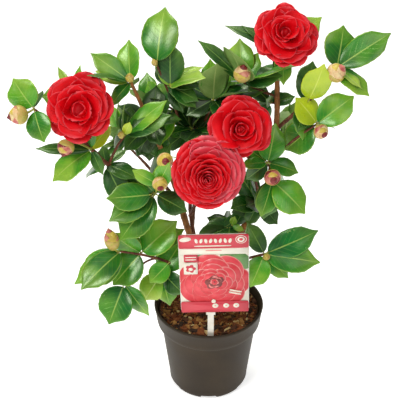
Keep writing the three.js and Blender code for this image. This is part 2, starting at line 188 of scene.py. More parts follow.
class Graph:
    """The node tree of one material, with a Principled shader already linked to its output."""

    def __init__(self, name: str) -> None:
        """Start an empty material with that name."""
        self.material = bpy.data.materials.new(name)
        self.material.use_nodes = True
        self.tree = self.material.node_tree
        self.tree.nodes.clear()
        output = self.tree.nodes.new("ShaderNodeOutputMaterial")
        self.shader = self.tree.nodes.new("ShaderNodeBsdfPrincipled")
        self.tree.links.new(self.shader.outputs[0], output.inputs[0])
        self.place = self.node("ShaderNodeTexCoord").outputs["Object"]

    def node(self, kind: str, settings: dict | None = None, inputs: dict | None = None) -> bpy.types.Node:
        """Add a node.

        Args:
            kind: The node's type name.
            settings: Properties to set first, such as a Math node's operation.
            inputs: Sockets by name or number, each a number, a colour, a socket or a Value.

        Returns:
            The new node.
        """
        made = self.tree.nodes.new(kind)
        for key, setting in (settings or {}).items():
            setattr(made, key, setting)
        for key, given in (inputs or {}).items():
            self.feed(made.inputs[key], given)
        return made

    def feed(self, socket: bpy.types.NodeSocket, given: object) -> None:
        """Link into a socket, or set its own value.

        Args:
            socket: The input to feed.
            given: A Value or socket to link, or a number, colour or vector to set.
        """
        if isinstance(given, Value):
            given = given.socket
        if isinstance(given, bpy.types.NodeSocket):
            self.tree.links.new(given, socket)
        else:
            socket.default_value = given

    def noise(self, size: float, detail: float = 3.0, stretch: tuple = (1.0, 1.0, 1.0)) -> Value:
        """A noise pattern on Object coordinates.

        Args:
            size: Width of one blotch in metres.
            detail: How many finer octaves ride on it.
            stretch: How much the pattern is squeezed along x, y and z.

        Returns:
            A value from about 0.2 to 0.8.
        """
        turned = self.node("ShaderNodeMapping", {}, {"Vector": self.place, "Scale": stretch})
        made = self.node("ShaderNodeTexNoise", {}, {
            "Vector": turned.outputs[0], "Scale": 1.0 / size, "Detail": detail})
        return Value(self, made.outputs["Fac"])

    def mix(self, share: object, first: object, second: object) -> bpy.types.NodeSocket:
        """A colour between two others, by a share from 0 to 1."""
        made = self.node("ShaderNodeMix", {"data_type": "RGBA"}, {0: share, 6: first, 7: second})
        return made.outputs[2]

    def blade(self) -> tuple[Value, Value]:
        """Read the blade map.

        Returns:
            How far a place is along its blade, 0 to 1, and across it, -1 to 1.
        """
        uv = self.node("ShaderNodeUVMap", {"uv_map": BLADE_UV})
        parts = self.node("ShaderNodeSeparateXYZ", {}, {0: uv.outputs[0]})
        return Value(self, parts.outputs[0]), Value(self, parts.outputs[1])

    def band(self, value: Value, low: float, high: float) -> Value:
        """Stretch a value so that low becomes 0 and high becomes 1, clamped."""
        made = self.node("ShaderNodeMapRange", {"clamp": True}, {
            "Value": value, "From Min": low, "From Max": high})
        return Value(self, made.outputs[0])

    def bump(self, height: Value, depth: float) -> None:
        """Feed a height pattern of that depth in metres into the shader's Normal."""
        made = self.node("ShaderNodeBump", {}, {"Height": height, "Distance": depth, "Strength": 1.0})
        self.feed(self.shader.inputs["Normal"], made.outputs[0])


@dataclass(frozen=True)
class Finish:
    """A plain finish: one colour with faint blotches, its gloss and a fine relief."""

    name: str
    colour: int
    roughness: float = 0.5
    blotch: int | None = None
    blotch_size: float = 0.012
    relief: float = 0.0
    relief_size: float = 0.001
    coat: float = 0.0
    coat_roughness: float = 0.1
    specular: float = 0.5

    def material(self) -> bpy.types.Material:
        """Make the finish's material, the first time it is asked for.

        Returns:
            The material.
        """
        known = bpy.data.materials.get(self.name)
        if known:
            return known
        graph = Graph(self.name)
        self.dress(graph)
        return graph.material

    def dress(self, graph: Graph) -> None:
        """Set the shader's plain sockets, and link its blotches and relief.

        Args:
            graph: The material's nodes.
        """
        shader = graph.shader.inputs
        shader["Roughness"].default_value = self.roughness
        shader["Coat Weight"].default_value = self.coat
        shader["Coat Roughness"].default_value = self.coat_roughness
        shader["Specular IOR Level"].default_value = self.specular
        shader["Base Color"].default_value = linear(self.colour)
        if self.blotch is not None:
            share = graph.band(graph.noise(self.blotch_size), 0.35, 0.65)
            graph.feed(shader["Base Color"], graph.mix(share, linear(self.colour), linear(self.blotch)))
        if self.relief:
            graph.bump(graph.noise(self.relief_size, 2.0), self.relief)


@dataclass(frozen=True)
class BarkFinish(Finish):
    """Young bark: long streaks of two browns, pale flecks and a fibrous relief."""

    fleck: int = 0xB08A5A

    def dress(self, graph: Graph) -> None:
        """Add streaks that run up the limb, and flecks, over the plain finish.

        Args:
            graph: The material's nodes.
        """
        super().dress(graph)
        streak = graph.band(graph.noise(0.004, 4.0, (1.0, 1.0, 0.25)), 0.35, 0.65)
        flecks = graph.band(graph.noise(0.0016, 2.0), 0.62, 0.7)
        browns = graph.mix(streak, linear(self.colour), linear(self.blotch or self.colour))
        graph.feed(graph.shader.inputs["Base Color"], graph.mix(flecks * 0.6, browns, linear(self.fleck)))
        graph.feed(graph.shader.inputs["Roughness"], streak * 0.15 + self.roughness)
        graph.bump(graph.noise(0.0018, 5.0, (1.0, 1.0, 0.3)), self.relief)


@dataclass(frozen=True)
class PotFinish(Finish):
    """Moulded plastic: satin, with a dusty bloom in broad soft patches and fine scuffs."""

    dust: int = 0x8A8076

    def dress(self, graph: Graph) -> None:
        """Mix in dust and scuffs, and vary the gloss with them.

        Args:
            graph: The material's nodes.
        """
        super().dress(graph)
        cloud = graph.band(graph.noise(0.05, 4.0), 0.4, 0.75)
        scuff = graph.band(graph.noise(0.003, 6.0, (1.0, 1.0, 4.0)), 0.58, 0.72)
        share = cloud * 0.22 + scuff * 0.12
        base = graph.mix(share, linear(self.colour), linear(self.dust))
        graph.feed(graph.shader.inputs["Base Color"], base)
        graph.feed(graph.shader.inputs["Roughness"], cloud * 0.12 + self.roughness)
        graph.bump(graph.noise(0.0012, 3.0), self.relief)


@dataclass(frozen=True)
class LeafFinish(Finish):
    """A leaf: two greens in soft patches, with a lighter rib, side veins, edge and tip, painted highlight
    patches, and a gloss.
    """

    # light is the lighter green of the tip, edge and veins, and also of the painted highlight patches.
    light: int = 0x9CC653
    rib: int = 0xB4D064
    shine: int = 0xD8FFB0

    def dress(self, graph: Graph) -> None:
        """Lay the veins and the painted highlight patches over the plain finish, by how far along and across
        the leaf a place is.

        Args:
            graph: The material's nodes.
        """
        super().dress(graph)
        graph.shader.inputs["Specular Tint"].default_value = linear(self.shine)
        along, across = graph.blade()
        out = across.absolute()
        vein = graph.band((along * SIDE_VEINS - out * VEIN_SWEEP).ping_pong(0.5), 0.07, 0.0)
        vein = vein * graph.band(out, 0.95, 0.8)
        rib = graph.band(out + along * 0.03, 0.07, 0.035)
        edge = graph.band(out, 0.9, 0.98)
        patch = graph.band(graph.noise(0.024, 3.0), 0.4, 0.62)
        # pale is painted highlight: soft patches of the lighter green away from the leaf's foot, standing in
        # for the gloss's reflection.
        pale = graph.band(graph.noise(0.045, 2.0), 0.5, 0.68) * 0.55 * graph.band(along, 0.15, 0.5)
        towards_tip = graph.band(along, 0.45, 1.1) * 0.5
        body = graph.mix(patch, linear(self.colour), linear(self.blotch or self.colour))
        for share in (pale, towards_tip, vein * 0.22 + edge * 0.75):
            body = graph.mix(share, body, linear(self.light))
        graph.feed(graph.shader.inputs["Base Color"], graph.mix(rib * 0.65, body, linear(self.rib)))
        graph.feed(graph.shader.inputs["Roughness"], patch * 0.1 + self.roughness)
        graph.bump(graph.noise(self.relief_size, 2.0) * 0.4 - vein * 0.6, self.relief)


@dataclass(frozen=True)
class PetalFinish(Finish):
    """A petal: painted shade deepening towards its foot, fine streaks, and a painted highlight as a soft pale
    line along its rim.
    """

    # deep is the painted shade at a petal's foot, and edge the painted highlight along its rim.
    deep: int = 0x9C0612
    edge: int = 0xF0707A

    def dress(self, graph: Graph) -> None:
        """Paint shade towards the petal's foot and a pale highlight along its rim.

        Args:
            graph: The material's nodes.
        """
        super().dress(graph)
        along, across = graph.blade()
        # rim marks where the painted highlight lies, along the petal's sides and end.
        rim = graph.band(across.absolute().largest(along), 0.9, 0.99)
        patch = graph.band(graph.noise(0.014, 3.0), 0.35, 0.65)
        body = graph.mix(patch, linear(self.colour), linear(self.blotch or self.colour))
        # Painted shade: the deep red towards the petal's foot.
        body = graph.mix(graph.band(along, 0.4, 0.05) * 0.8, body, linear(self.deep))
        graph.feed(graph.shader.inputs["Base Color"], graph.mix(rim * 0.7, body, linear(self.edge)))
        streak = (across * 14.0 + patch).ping_pong(0.5)
        graph.bump(graph.noise(self.relief_size, 2.0) + streak, self.relief)


def leaf_finish(name: str, colour: int, blotch: int, light: int, rib: int = 0xB4D064) -> LeafFinish:
    """A glossy leaf finish of two greens, with its lighter green and the colour of its rib."""
    return LeafFinish("leaf_" + name, colour, 0.27, blotch, relief=2e-4, relief_size=0.0014, coat=0.55,
                      coat_roughness=0.25, light=light, rib=rib)


class Tint(Enum):
    """The greens that leaves are dealt."""

    FRESH = leaf_finish("fresh_green", 0x4C9E1C, 0x28821C, 0xB0CC48)
    MID = leaf_finish("mid_green", 0x2A7E1C, 0x14601A, 0x98BC3C)
    DEEP = leaf_finish("deep_green", 0x145218, 0x0A3A14, 0x6A943A, 0x8DB455)
    BLUE = leaf_finish("blue_green", 0x0E7428, 0x085822, 0x78B03C)
    # SHADE is painted shade: a darker copy of the greens for leaves deep in the crown.
    SHADE = leaf_finish("shade_green", 0x123414, 0x0A240E, 0x44722C, 0x6E9A4A)
    LIGHT = leaf_finish("light_green", 0x8CB430, 0x68A226, 0xC4D460, 0xCFE08A)
    YELLOW = leaf_finish("yellow_green", 0xB4C81A, 0x9FBC1E, 0xC8D83C, 0xDCE66C)


UNDERSIDE = LeafFinish("leaf_underside", 0x86A85A, 0.45, 0x6E9648, relief=1.5e-4, relief_size=0.0014,
                       light=0xA8C070, rib=0xC0D080)
TWIG = BarkFinish("twig_red_brown", 0x6A3220, 0.6, blotch=0x47190F, relief=2e-4)
SHOOT = Finish("green_shoot", 0xA0AC3C, 0.5, 0x8A8438, 0.006, 1e-4, 0.001)
BARK = BarkFinish("bark_orange_brown", 0xA8682F, 0.7, blotch=0x6E421E, relief=6e-4)
BARK_YOUNG = BarkFinish("bark_young", 0x7A3F24, 0.65, blotch=0x4C2414, relief=4e-4)


def petal_finish(name: str, colour: int, blotch: int, deep: int, edge: int = 0xEC5660) -> PetalFinish:
    """A velvety petal finish of two reds."""
    return PetalFinish("petal_" + name, colour, 0.48, blotch, relief=1.2e-4, relief_size=0.0012,
                       specular=0.15, deep=deep, edge=edge)


# Each petal's deep colour is painted shade at its foot, and its edge colour a painted highlight on its rim.
PETAL = petal_finish("red", 0xE20616, 0xD20412, 0x980410)
PETAL_PALE = petal_finish("soft_red", 0xE24250, 0xDA3242, 0xC01424, 0xEE8088)

SCALE_GREEN = Finish("bud_scale_green", 0xB4AE48, 0.45, 0xC8A45C, 0.006, 1e-4, 0.001, 0.1)
SCALE_YELLOW = Finish("bud_scale_yellow", 0xD8C050, 0.45, 0xBCA440, 0.006, 1e-4, 0.001, 0.1)
SCALE_CREAM = Finish("bud_scale_cream", 0xE8D29C, 0.5, 0xDCAE7A, 0.006, 1e-4, 0.001)
SCALE_PINK = Finish("bud_scale_pink", 0xD6957A, 0.5, 0xB85450, 0.006, 1e-4, 0.001)
SCALE_TIP = Finish("bud_tip", 0x6A1A1C, 0.5, 0x8E2C2C, 0.003, 1e-4, 0.001)


# ---------------------------------------------------------------- meshes


def loft_quads(rows: int, columns: int) -> np.ndarray:
    """The faces of a grid of rows that closes on itself across its columns, four corners each."""
    row, column = np.meshgrid(np.arange(rows - 1), np.arange(columns), indexing="ij")
    beside = (column + 1) % columns
    corners = (row * columns + column, row * columns + beside,
               (row + 1) * columns + beside, (row + 1) * columns + column)
    return np.stack(corners, axis=-1).reshape(-1, 4)


@dataclass
class Piece:
    """Faces gathered from many small shapes, built at the end as one object."""

    name: str
    finishes: list[Finish]
    points: list[np.ndarray] = field(default_factory=list)
    quads: list[np.ndarray] = field(default_factory=list)
    slots: list[np.ndarray] = field(default_factory=list)
    places: list[np.ndarray] = field(default_factory=list)
    count: int = 0

    def add(self, points: np.ndarray, quads: np.ndarray, slots: np.ndarray | int,
            places: np.ndarray | None = None) -> None:
        """Add a shape.

        Args:
            points: Its vertices, three numbers each.
            quads: Its faces, four of those vertices each.
            slots: Which finish each face takes, or one for all of them.
            places: How far along and across its blade each vertex is, where it has a blade.
        """
        flat = points.reshape(-1, 3)
        self.points.append(flat)
        self.quads.append(quads + self.count)
        self.slots.append(np.broadcast_to(np.asarray(slots, np.int32), (len(quads),)))
        self.places.append(np.zeros((len(flat), 2)) if places is None else places.reshape(-1, 2))
        self.count += len(flat)

    def loft(self, rings: np.ndarray, slots: np.ndarray | int = 0,
             places: np.ndarray | None = None) -> None:
        """Add a closed skin over rings of points; the first and last ring are drawn to their middles.

        Args:
            rings: The rings, as rows by columns by 3.
            slots: A finish for all faces, or one for each column of faces.
            places: How far along and across its blade each point is.
        """
        columns = rings.shape[1]
        ends = [np.repeat(ring.mean(axis=0, keepdims=True), columns, axis=0) for ring in rings[[0, -1]]]
        closed = np.concatenate([ends[0][None], rings, ends[1][None]])
        if places is not None:
            places = np.concatenate([places[:1], places, places[-1:]])
        if np.ndim(slots) == 1:
            slots = np.tile(slots, len(closed) - 1)
        self.add(closed, loft_quads(len(closed), columns), slots, places)

    def build(self, slot: str, replaces: list[str], flat: bool = False) -> bpy.types.Object:
        """Make the object.

        Args:
            slot: Not used.
            replaces: The frame's nodes that it stands for.
            flat: Whether its faces keep hard edges.

        Returns:
            The finished object, riding on the body.
        """
        points = np.concatenate(self.points)
        quads = np.concatenate(self.quads)
        mesh = bpy.data.meshes.new(self.name)
        mesh.vertices.add(len(points))
        mesh.vertices.foreach_set("co", points.ravel())
        mesh.loops.add(quads.size)
        mesh.loops.foreach_set("vertex_index", quads.ravel())
        mesh.polygons.add(len(quads))
        mesh.polygons.foreach_set("loop_start", np.arange(0, quads.size, 4))
        mesh.polygons.foreach_set("material_index", np.concatenate(self.slots))
        mesh.update(calc_edges=True)
        places = np.concatenate(self.places)[quads.ravel()]
        mesh.uv_layers.new(name=BLADE_UV).data.foreach_set("uv", places.ravel())
        for finish in self.finishes:
            mesh.materials.append(finish.material())
        work = bmesh.new()
        work.from_mesh(mesh)
        bmesh.ops.remove_doubles(work, verts=work.verts, dist=MERGE)
        bmesh.ops.dissolve_degenerate(work, edges=work.edges, dist=MERGE)
        bmesh.ops.recalc_face_normals(work, faces=work.faces)
        work.to_mesh(mesh)
        work.free()
        mesh.polygons.foreach_set("use_smooth", np.full(len(mesh.polygons), not flat))
        mesh.update()
        made = bpy.data.objects.new(self.name, mesh)
        bpy.context.scene.collection.objects.link(made)
        return settle(made, replaces)


def settle(made: bpy.types.Object, replaces: list[str]) -> bpy.types.Object:
    """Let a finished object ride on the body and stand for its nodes.

    Args:
        made: The object.
        replaces: The frame's nodes that it stands for.

    Returns:
        The object.
    """
    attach(made, BODY)
    if replaces:
        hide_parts(*replaces)
    triangles = sum(len(p.vertices) - 2 for p in made.data.polygons)
    LOG.info("%s: %d triangles, stands for %d nodes", made.name, triangles, len(replaces))
    return made


def along_path(path: np.ndarray, count: int) -> np.ndarray:
    """Points at even steps along a path, by linear interpolation over its length.

    Args:
        path: The path's points.
        count: How many points to make.

    Returns:
        The new points, from the path's first to its last.
    """
    steps = np.linalg.norm(np.diff(path, axis=0), axis=1)
    length = np.concatenate([[0.0], np.cumsum(steps)])
    wanted = np.linspace(0.0, length[-1], count)
    return np.stack([np.interp(wanted, length, path[:, i]) for i in range(3)], axis=1)


def curve_between(start: np.ndarray, lead: np.ndarray, end: np.ndarray, count: int) -> np.ndarray:
    """A quadratic curve: (1-t)^2 start + 2t(1-t) lead + t^2 end, at even values of t."""
    t = np.linspace(0, 1, count)[:, None]
    return (1 - t) ** 2 * start + 2 * t * (1 - t) * lead + t * t * end


def tube_rings(path: np.ndarray, radii: np.ndarray, sides: int) -> np.ndarray:
    """Rings of a round limb.

    Each ring is centre + radius (cos a side + sin a other), where side and other are square to the path
    and to each other, kept from twisting by one fixed reference direction.

    Args:
        path: Centres, one row each.
        radii: The radius at each centre.
        sides: Points round each ring.

    Returns:
        The rings, as rows by sides by 3.
    """
    tangent = unit(np.gradient(path, axis=0))
    chord = unit(path[-1] - path[0])
    reference = UP if abs(chord[2]) < 0.7 else np.array([0.0, -1.0, 0.0])
    side = unit(np.cross(tangent, reference))
    other = np.cross(tangent, side)
    angle = np.arange(sides) * TURN / sides
    wheel = np.cos(angle)[None, :, None] * side[:, None] + np.sin(angle)[None, :, None] * other[:, None]
    return path[:, None] + np.asarray(radii)[:, None, None] * wheel


# ---------------------------------------------------------------- reading the frame


@dataclass(frozen=True)
class Solid:
    """A frame node's mesh with its doubled corners merged."""

    name: str
    points: np.ndarray
    edges: np.ndarray

    @classmethod
    def read(cls, name: str) -> "Solid":
        """Merge a node's loose triangles.

        Args:
            name: The frame's node.

        Returns:
            Its points and the edges between them, each once.
        """
        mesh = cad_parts[name].data
        raw = np.empty(len(mesh.vertices) * 3)
        mesh.vertices.foreach_get("co", raw)
        corners = np.empty(len(mesh.loops), np.int32)
        mesh.loops.foreach_get("vertex_index", corners)
        _, first, inverse = np.unique(
            np.round(raw.reshape(-1, 3), 5), axis=0, return_index=True, return_inverse=True)
        triangles = inverse.ravel()[corners].reshape(-1, 3)
        pairs = np.concatenate([triangles[:, [0, 1]], triangles[:, [1, 2]], triangles[:, [2, 0]]])
        return cls(name, raw.reshape(-1, 3)[first], np.unique(np.sort(pairs, axis=1), axis=0))

    def slices(self, direction: np.ndarray, places: np.ndarray) -> tuple[np.ndarray, np.ndarray]:
        """Cut the solid by planes square to a direction.

        Args:
            direction: The planes' shared normal.
            places: The distance of each plane along it.

        Returns:
            The middle of each cut, and its mean radius.
        """
        height = self.points @ direction
        low, high = height[self.edges[:, 0]], height[self.edges[:, 1]]
        centres, radii = [], []
        for place in places:
            crossed = (low - place) * (high - place) < 0
            share = ((place - low[crossed]) / (high[crossed] - low[crossed]))[:, None]
            ends = self.points[self.edges[crossed]]
            cut = ends[:, 0] * (1 - share) + ends[:, 1] * share
            middle = (cut.max(axis=0) + cut.min(axis=0)) / 2
            centres.append(middle)
            radii.append(np.linalg.norm(cut - middle, axis=1).mean())
        return np.array(centres), np.array(radii)


@dataclass(frozen=True)
class Limb:
    """A stem or bough: its centreline from foot to tip, and its radii.

    CUTS slices give the centreline, the end ones MARGIN of its length from the ends, and the limb is carried
    back by FOOT metres into the one that it grows from.
    """

    CUTS, MARGIN, FOOT = 14, 0.04, 0.006

    name: str
    path: np.ndarray
    radii: np.ndarray

    @classmethod
    def read(cls, name: str) -> "Limb":
        """Find the centreline of a frame limb.

        Args:
            name: The frame's node.

        Returns:
            The limb, from its lower end to its upper end.
        """
        solid = Solid.read(name)
        middle = solid.points.mean(axis=0)
        direction = np.linalg.svd(solid.points - middle, full_matrices=False)[2][0]
        direction = direction * (1 if direction[2] > 0 else -1)
        reach = solid.points @ direction
        ends = reach.min(), reach.max()
        margin = cls.MARGIN * (ends[1] - ends[0])
        path, radii = solid.slices(direction, np.linspace(ends[0] + margin, ends[1] - margin, cls.CUTS))
        start = path[0] - unit(path[1] - path[0]) * (margin + cls.FOOT)
        end = path[-1] + unit(path[-1] - path[-2]) * margin
        radii = np.concatenate([[radii[0]], radii, [radii[-1] * 0.95]])
        return cls(name, np.vstack([start, path, end]), radii)


@dataclass(frozen=True)
class Spray:
    """A mass of foliage read as leaves round a hub.

    SHARP is how close to one way a tip's edges all run, from 0 to 1, and AIM how straight a tip points away
    from the hub. SHORTEST is the least length of a leaf, and APART the least gap between two tips, in metres.
    """

    SHARP, AIM, SHORTEST, APART = 0.76, 0.92, 0.026, 0.008

    hub: np.ndarray
    tips: np.ndarray
    faces: np.ndarray

    @classmethod
    def read(cls, name: str, seat: np.ndarray | None) -> "Spray":
        """Find the leaves of a frame mass.

        Its sharp points are leaf tips. The hub is the point nearest to all the lines that run down from
        them: the sum of (I - d d') (hub - tip) is zero, d being each line's direction.

        Args:
            name: The frame's node.
            seat: The hub, where it is known from the limb that carries the mass.

        Returns:
            The spray, its leaves from the highest tip to the lowest.
        """
        solid = Solid.read(name)
        ways = np.concatenate([solid.edges, solid.edges[:, ::-1]])
        lead = unit(solid.points[ways[:, 1]] - solid.points[ways[:, 0]])
        total = np.zeros_like(solid.points)
        np.add.at(total, ways[:, 0], lead)
        count = np.bincount(ways[:, 0], minlength=len(total))
        corner = np.nonzero((np.linalg.norm(total, axis=1) > cls.SHARP * count) & (count >= 4))[0]
        inward = unit(total[corner])
        tips = solid.points[corner]
        hub = cls.meeting(tips, inward, solid.points) if seat is None else seat
        faces = []
        for index, way in zip(corner, inward):
            spokes = solid.points[ways[ways[:, 0] == index, 1]] - solid.points[index]
            square_part = spokes - np.outer(spokes @ way, way)
            wide = square_part[np.argmax(np.linalg.norm(square_part, axis=1))]
            faces.append(unit(np.cross(way, wide)))
        faces = np.array(faces)
        far = np.linalg.norm(tips - hub, axis=1) > cls.SHORTEST
        order = np.nonzero(far & (np.sum(unit(hub - tips) * inward, axis=1) > cls.AIM))[0]
        order = order[np.argsort(-tips[order, 2])]
        close = np.linalg.norm(tips[order][:, None] - tips[order][None], axis=2) < cls.APART
        order = order[~np.tril(close, -1).any(axis=1)]
        return cls(hub, tips[order], faces[order])

    @staticmethod
    def meeting(tips: np.ndarray, inward: np.ndarray, points: np.ndarray) -> np.ndarray:
        """The place where the lines down from the tips meet.

        It is solved a dozen times, each line weighing 1 / (its miss + 0.5 mm) in the next round, with a
        slight pull to the mass's middle. A mass of one leaf has its hub 7 mm short of its far end.

        Args:
            tips: A point on each line.
            inward: Each line's direction.
            points: All the mass's corners.

        Returns:
            The hub.
        """
        if len(tips) == 1:
            reach = (points @ inward[0]).max() - tips[0] @ inward[0]
            return tips[0] + inward[0] * (reach - 0.007)
        square = np.eye(3) - inward[:, :, None] * inward[:, None, :]
        weight = np.ones(len(tips))
        for _ in range(12):
            trust = 0.001 * weight.sum()
            total = np.einsum("n,nij->ij", weight, square) + trust * np.eye(3)
            pull = np.einsum("n,nij,nj->i", weight, square, tips) + trust * points.mean(axis=0)
            hub = np.linalg.solve(total, pull)
            miss = np.linalg.norm(np.einsum("nij,nj->ni", square, hub - tips), axis=1)
            weight = 1 / (miss + 0.0005)
        return hub


# ---------------------------------------------------------------- limbs


@dataclass
class Limbs:
    """Trunk, stems and boughs with bark relief."""

    names: list[str]
    sides: int = 20
    step: float = 0.003
    sway: float = 0.0008
    ridge: float = 0.07
    knot: float = 0.16
    knot_gap: float = 0.021
    old_radius: float = 0.0045

    def __post_init__(self) -> None:
        """Read every limb's centreline."""
        self.limbs = {name: Limb.read(name) for name in self.names}

    def nearest(self, place: np.ndarray) -> tuple[np.ndarray, np.ndarray]:
        """The limb point nearest to a place, one above the place counting as twice as far up.

        Args:
            place: The place.

        Returns:
            The point on the limb, and the way that the limb runs there.
        """
        best = None
        for limb in self.limbs.values():
            path = along_path(limb.path, 60)
            gap = path - place
            gap[:, 2] *= np.where(gap[:, 2] > 0, 2.0, 1.0)
            distance = np.linalg.norm(gap, axis=1)
            index = int(np.argmin(distance))
            if best is None or distance[index] < best[0]:
                run = unit(path[min(index + 1, len(path) - 1)] - path[max(index - 1, 0)])
                best = distance[index], path[index], run
        return best[1], best[2]

    def spray(self, node: str, seat: tuple[str, float] | None) -> Spray:
        """Read a mass of foliage.

        Args:
            node: Its name, without the word foliage.
            seat: The limb that it sits on, where that is known, and at which share of its length.

        Returns:
            The spray.
        """
        if seat is None:
            return Spray.read("foliage_" + node, None)
        name, share = seat
        return Spray.read("foliage_" + node, along_path(self.limbs[name].path, 101)[round(share * 100)])

    def rings(self, limb: Limb) -> np.ndarray:
        """Rings of a limb with ridges, knots and a ragged skin.

        The radius is the limb's own times 1 + ridge x noise of two sizes, drawn out along the limb, + a knot,
        which is a narrow bulge at even gaps: knot x (half the cosine of the way through the gap + half)^14.

        Args:
            limb: The limb.

        Returns:
            The rings, as rows by sides by 3.
        """
        length = np.linalg.norm(np.diff(limb.path, axis=0), axis=1).sum()
        count = max(12, int(length / self.step))
        path = along_path(limb.path, count)
        bend = np.stack([value_noise(path, 0.03, seed) for seed in (3, 4, 5)], axis=1)
        from_end = np.minimum(np.arange(count), np.arange(count)[::-1])
        path = path + bend * self.sway * smooth(0, 8, from_end)[:, None]
        radii = np.interp(np.linspace(0, 1, count), np.linspace(0, 1, len(limb.radii)), limb.radii)
        rings = tube_rings(path, radii, self.sides)
        way = np.linspace(0, length, count) / self.knot_gap
        knot = self.knot * (0.5 + 0.5 * np.cos(TURN * way)) ** 14
        squeezed = rings * np.array([1.0, 1.0, 0.35])
        rough = value_noise(squeezed, 0.0024, 7) + 0.6 * value_noise(rings, 0.0012, 9)
        swell = 1 + knot[:, None] + self.ridge * rough
        return path[:, None] + (rings - path[:, None]) * swell[..., None]

    def build(self) -> None:
        """Join the trunk and thick stems in older bark, and the boughs in younger bark."""
        piece = Piece("stems_and_boughs", [BARK, BARK_YOUNG])
        for limb in self.limbs.values():
            piece.loft(self.rings(limb), 0 if limb.radii.max() > self.old_radius else 1)
        piece.build("bark", self.names)


# ---------------------------------------------------------------- blades: leaves, petals and scales


# A blade's cross-section: over the upper sheet from edge to edge, and back under the lower one.
ACROSS = np.array([-1, -0.93, -0.62, -0.28, 0, 0.28, 0.62, 0.93, 1, 0.8, 0.45, 0, -0.45, -0.8])
SHEET = np.array([0, 1, 1, 1, 1, 1, 1, 1, 0, -1, -1, -1, -1, -1])
UPPER_FACES = 8


def blade_rings(path: np.ndarray, side: np.ndarray, face: np.ndarray, half: np.ndarray,
                rise: np.ndarray, thick: float) -> np.ndarray:
    """Rings of a thin closed blade.

    A point is path + across x half x side + (rise + sheet x thick x (1 - 0.9 across^2)) x face, where across
    runs from -1 to 1 and back, and sheet is 1 on the upper side, -1 on the lower and 0 at the edges.

    Args:
        path: The midrib, one row for each station.
        side: Which way is across the blade at each station.
        face: Which way the upper side faces at each station.
        half: Half the width at each station.
        rise: The height over the midrib at each station and place across.
        thick: Half the thickness at the midrib.

    Returns:
        Stations by places round by 3.
    """
    height = rise + SHEET * thick * (1 - 0.9 * ACROSS**2)
    out = (half[:, None] * ACROSS)[..., None] * side[:, None]
    return path[:, None] + out + height[..., None] * face[:, None]


def blade_places(stations: np.ndarray) -> np.ndarray:
    """How far along and across each point of a blade is."""
    along, across_ = np.meshgrid(stations, ACROSS, indexing="ij")
    return np.stack([along, across_], axis=-1)


def blade_slots(upper: int, lower: int) -> np.ndarray:
    """The finish of each column of a blade's faces."""
    return np.where(np.arange(len(ACROSS)) < UPPER_FACES, upper, lower)


@dataclass(frozen=True)
class Leaf:
    """One leaf: an ellipse with a short drawn-out tip, folded a little along its rib."""

    base: np.ndarray
    tip: np.ndarray
    face: np.ndarray
    half: float
    arch: float
    fold: float
    wave: float
    phase: float
    stations: int = 25
    thick: float = 0.0003
    tooth: float = 0.02
    tip_draw: float = 0.55
    furrow: float = 0.009
    curl: float = 0.16

    def outline(self, u: np.ndarray) -> np.ndarray:
        """Half the leaf's width on the share u of its length.

        It is half x (2.36 u^0.58 (1 - u)^0.7 + 0.04 u (1 - u^4)). The tip is drawn in by up to tip_draw, and
        every other station by tooth.

        Args:
            u: The stations, from 0 to 1.

        Returns:
            Half the width at each.
        """
        full = 2.36 * u**0.58 * (1 - u) ** 0.7 + 0.04 * u * (1 - u**4)
        teeth = self.tooth * (np.arange(len(u)) % 2) * smooth(0, 0.2, u)
        return self.half * full * (1 - teeth - self.tip_draw * smooth(0.72, 0.97, u))

    def rings(self) -> tuple[np.ndarray, np.ndarray]:
        """Work out the leaf's skin.

        The stations are close together at both ends. The rise over the rib is half the width x (fold x
        |across| + a wave of the margin - curl x |across|^3), and shallow furrows between the side veins.

        Returns:
            The leaf's rings, and how far along and across each point is.
        """
        u = 0.5 - 0.5 * np.cos(np.linspace(0.02, 0.98, self.stations) * np.pi)
        span = self.tip - self.base
        face = across(unit(span), self.face)
        lead = self.base + span * 0.5 + face * self.arch * np.linalg.norm(span)
        path = curve_between(self.base, lead, self.tip, 61)
        path = np.stack([np.interp(u, np.linspace(0, 1, len(path)), path[:, i]) for i in range(3)], axis=1)
        run = unit(np.gradient(path, axis=0))
        upward = across(run, face[None])
        half = self.outline(u)
        out, along = np.abs(ACROSS)[None], u[:, None]
        margin = self.wave * np.sin(TURN * (1.5 * along + 0.15 * ACROSS) + self.phase) * out**2
        vein = self.furrow * np.cos(TURN * (SIDE_VEINS * along - VEIN_SWEEP * out)) * out * (1 - out)
        rise = half[:, None] * (self.fold * out + margin - self.curl * out**3) + self.half * vein
        return blade_rings(path, np.cross(run, upward), upward, half, rise, self.thick), blade_places(u)


@dataclass(frozen=True)
class Habit:
    """How the leaves of one mass of foliage are dealt.

    Tints are the first letters of Tint's names, for the leaves from the highest tip down. Widths are shares
    of the usual width, and 0 leaves a leaf out. Both start again when they run out. A seat is the limb, and
    the share of its length, at which the leaves meet. A bare mass has no leaves lower down its twig. More
    leaves have root and tip, in millimetres from where the leaves meet, a tint and a width.
    """

    tints: str
    widths: tuple[float, ...] = (1.0,)
    seat: tuple[str, float] | None = None
    bare: bool = False
    more: tuple[tuple, ...] = ()


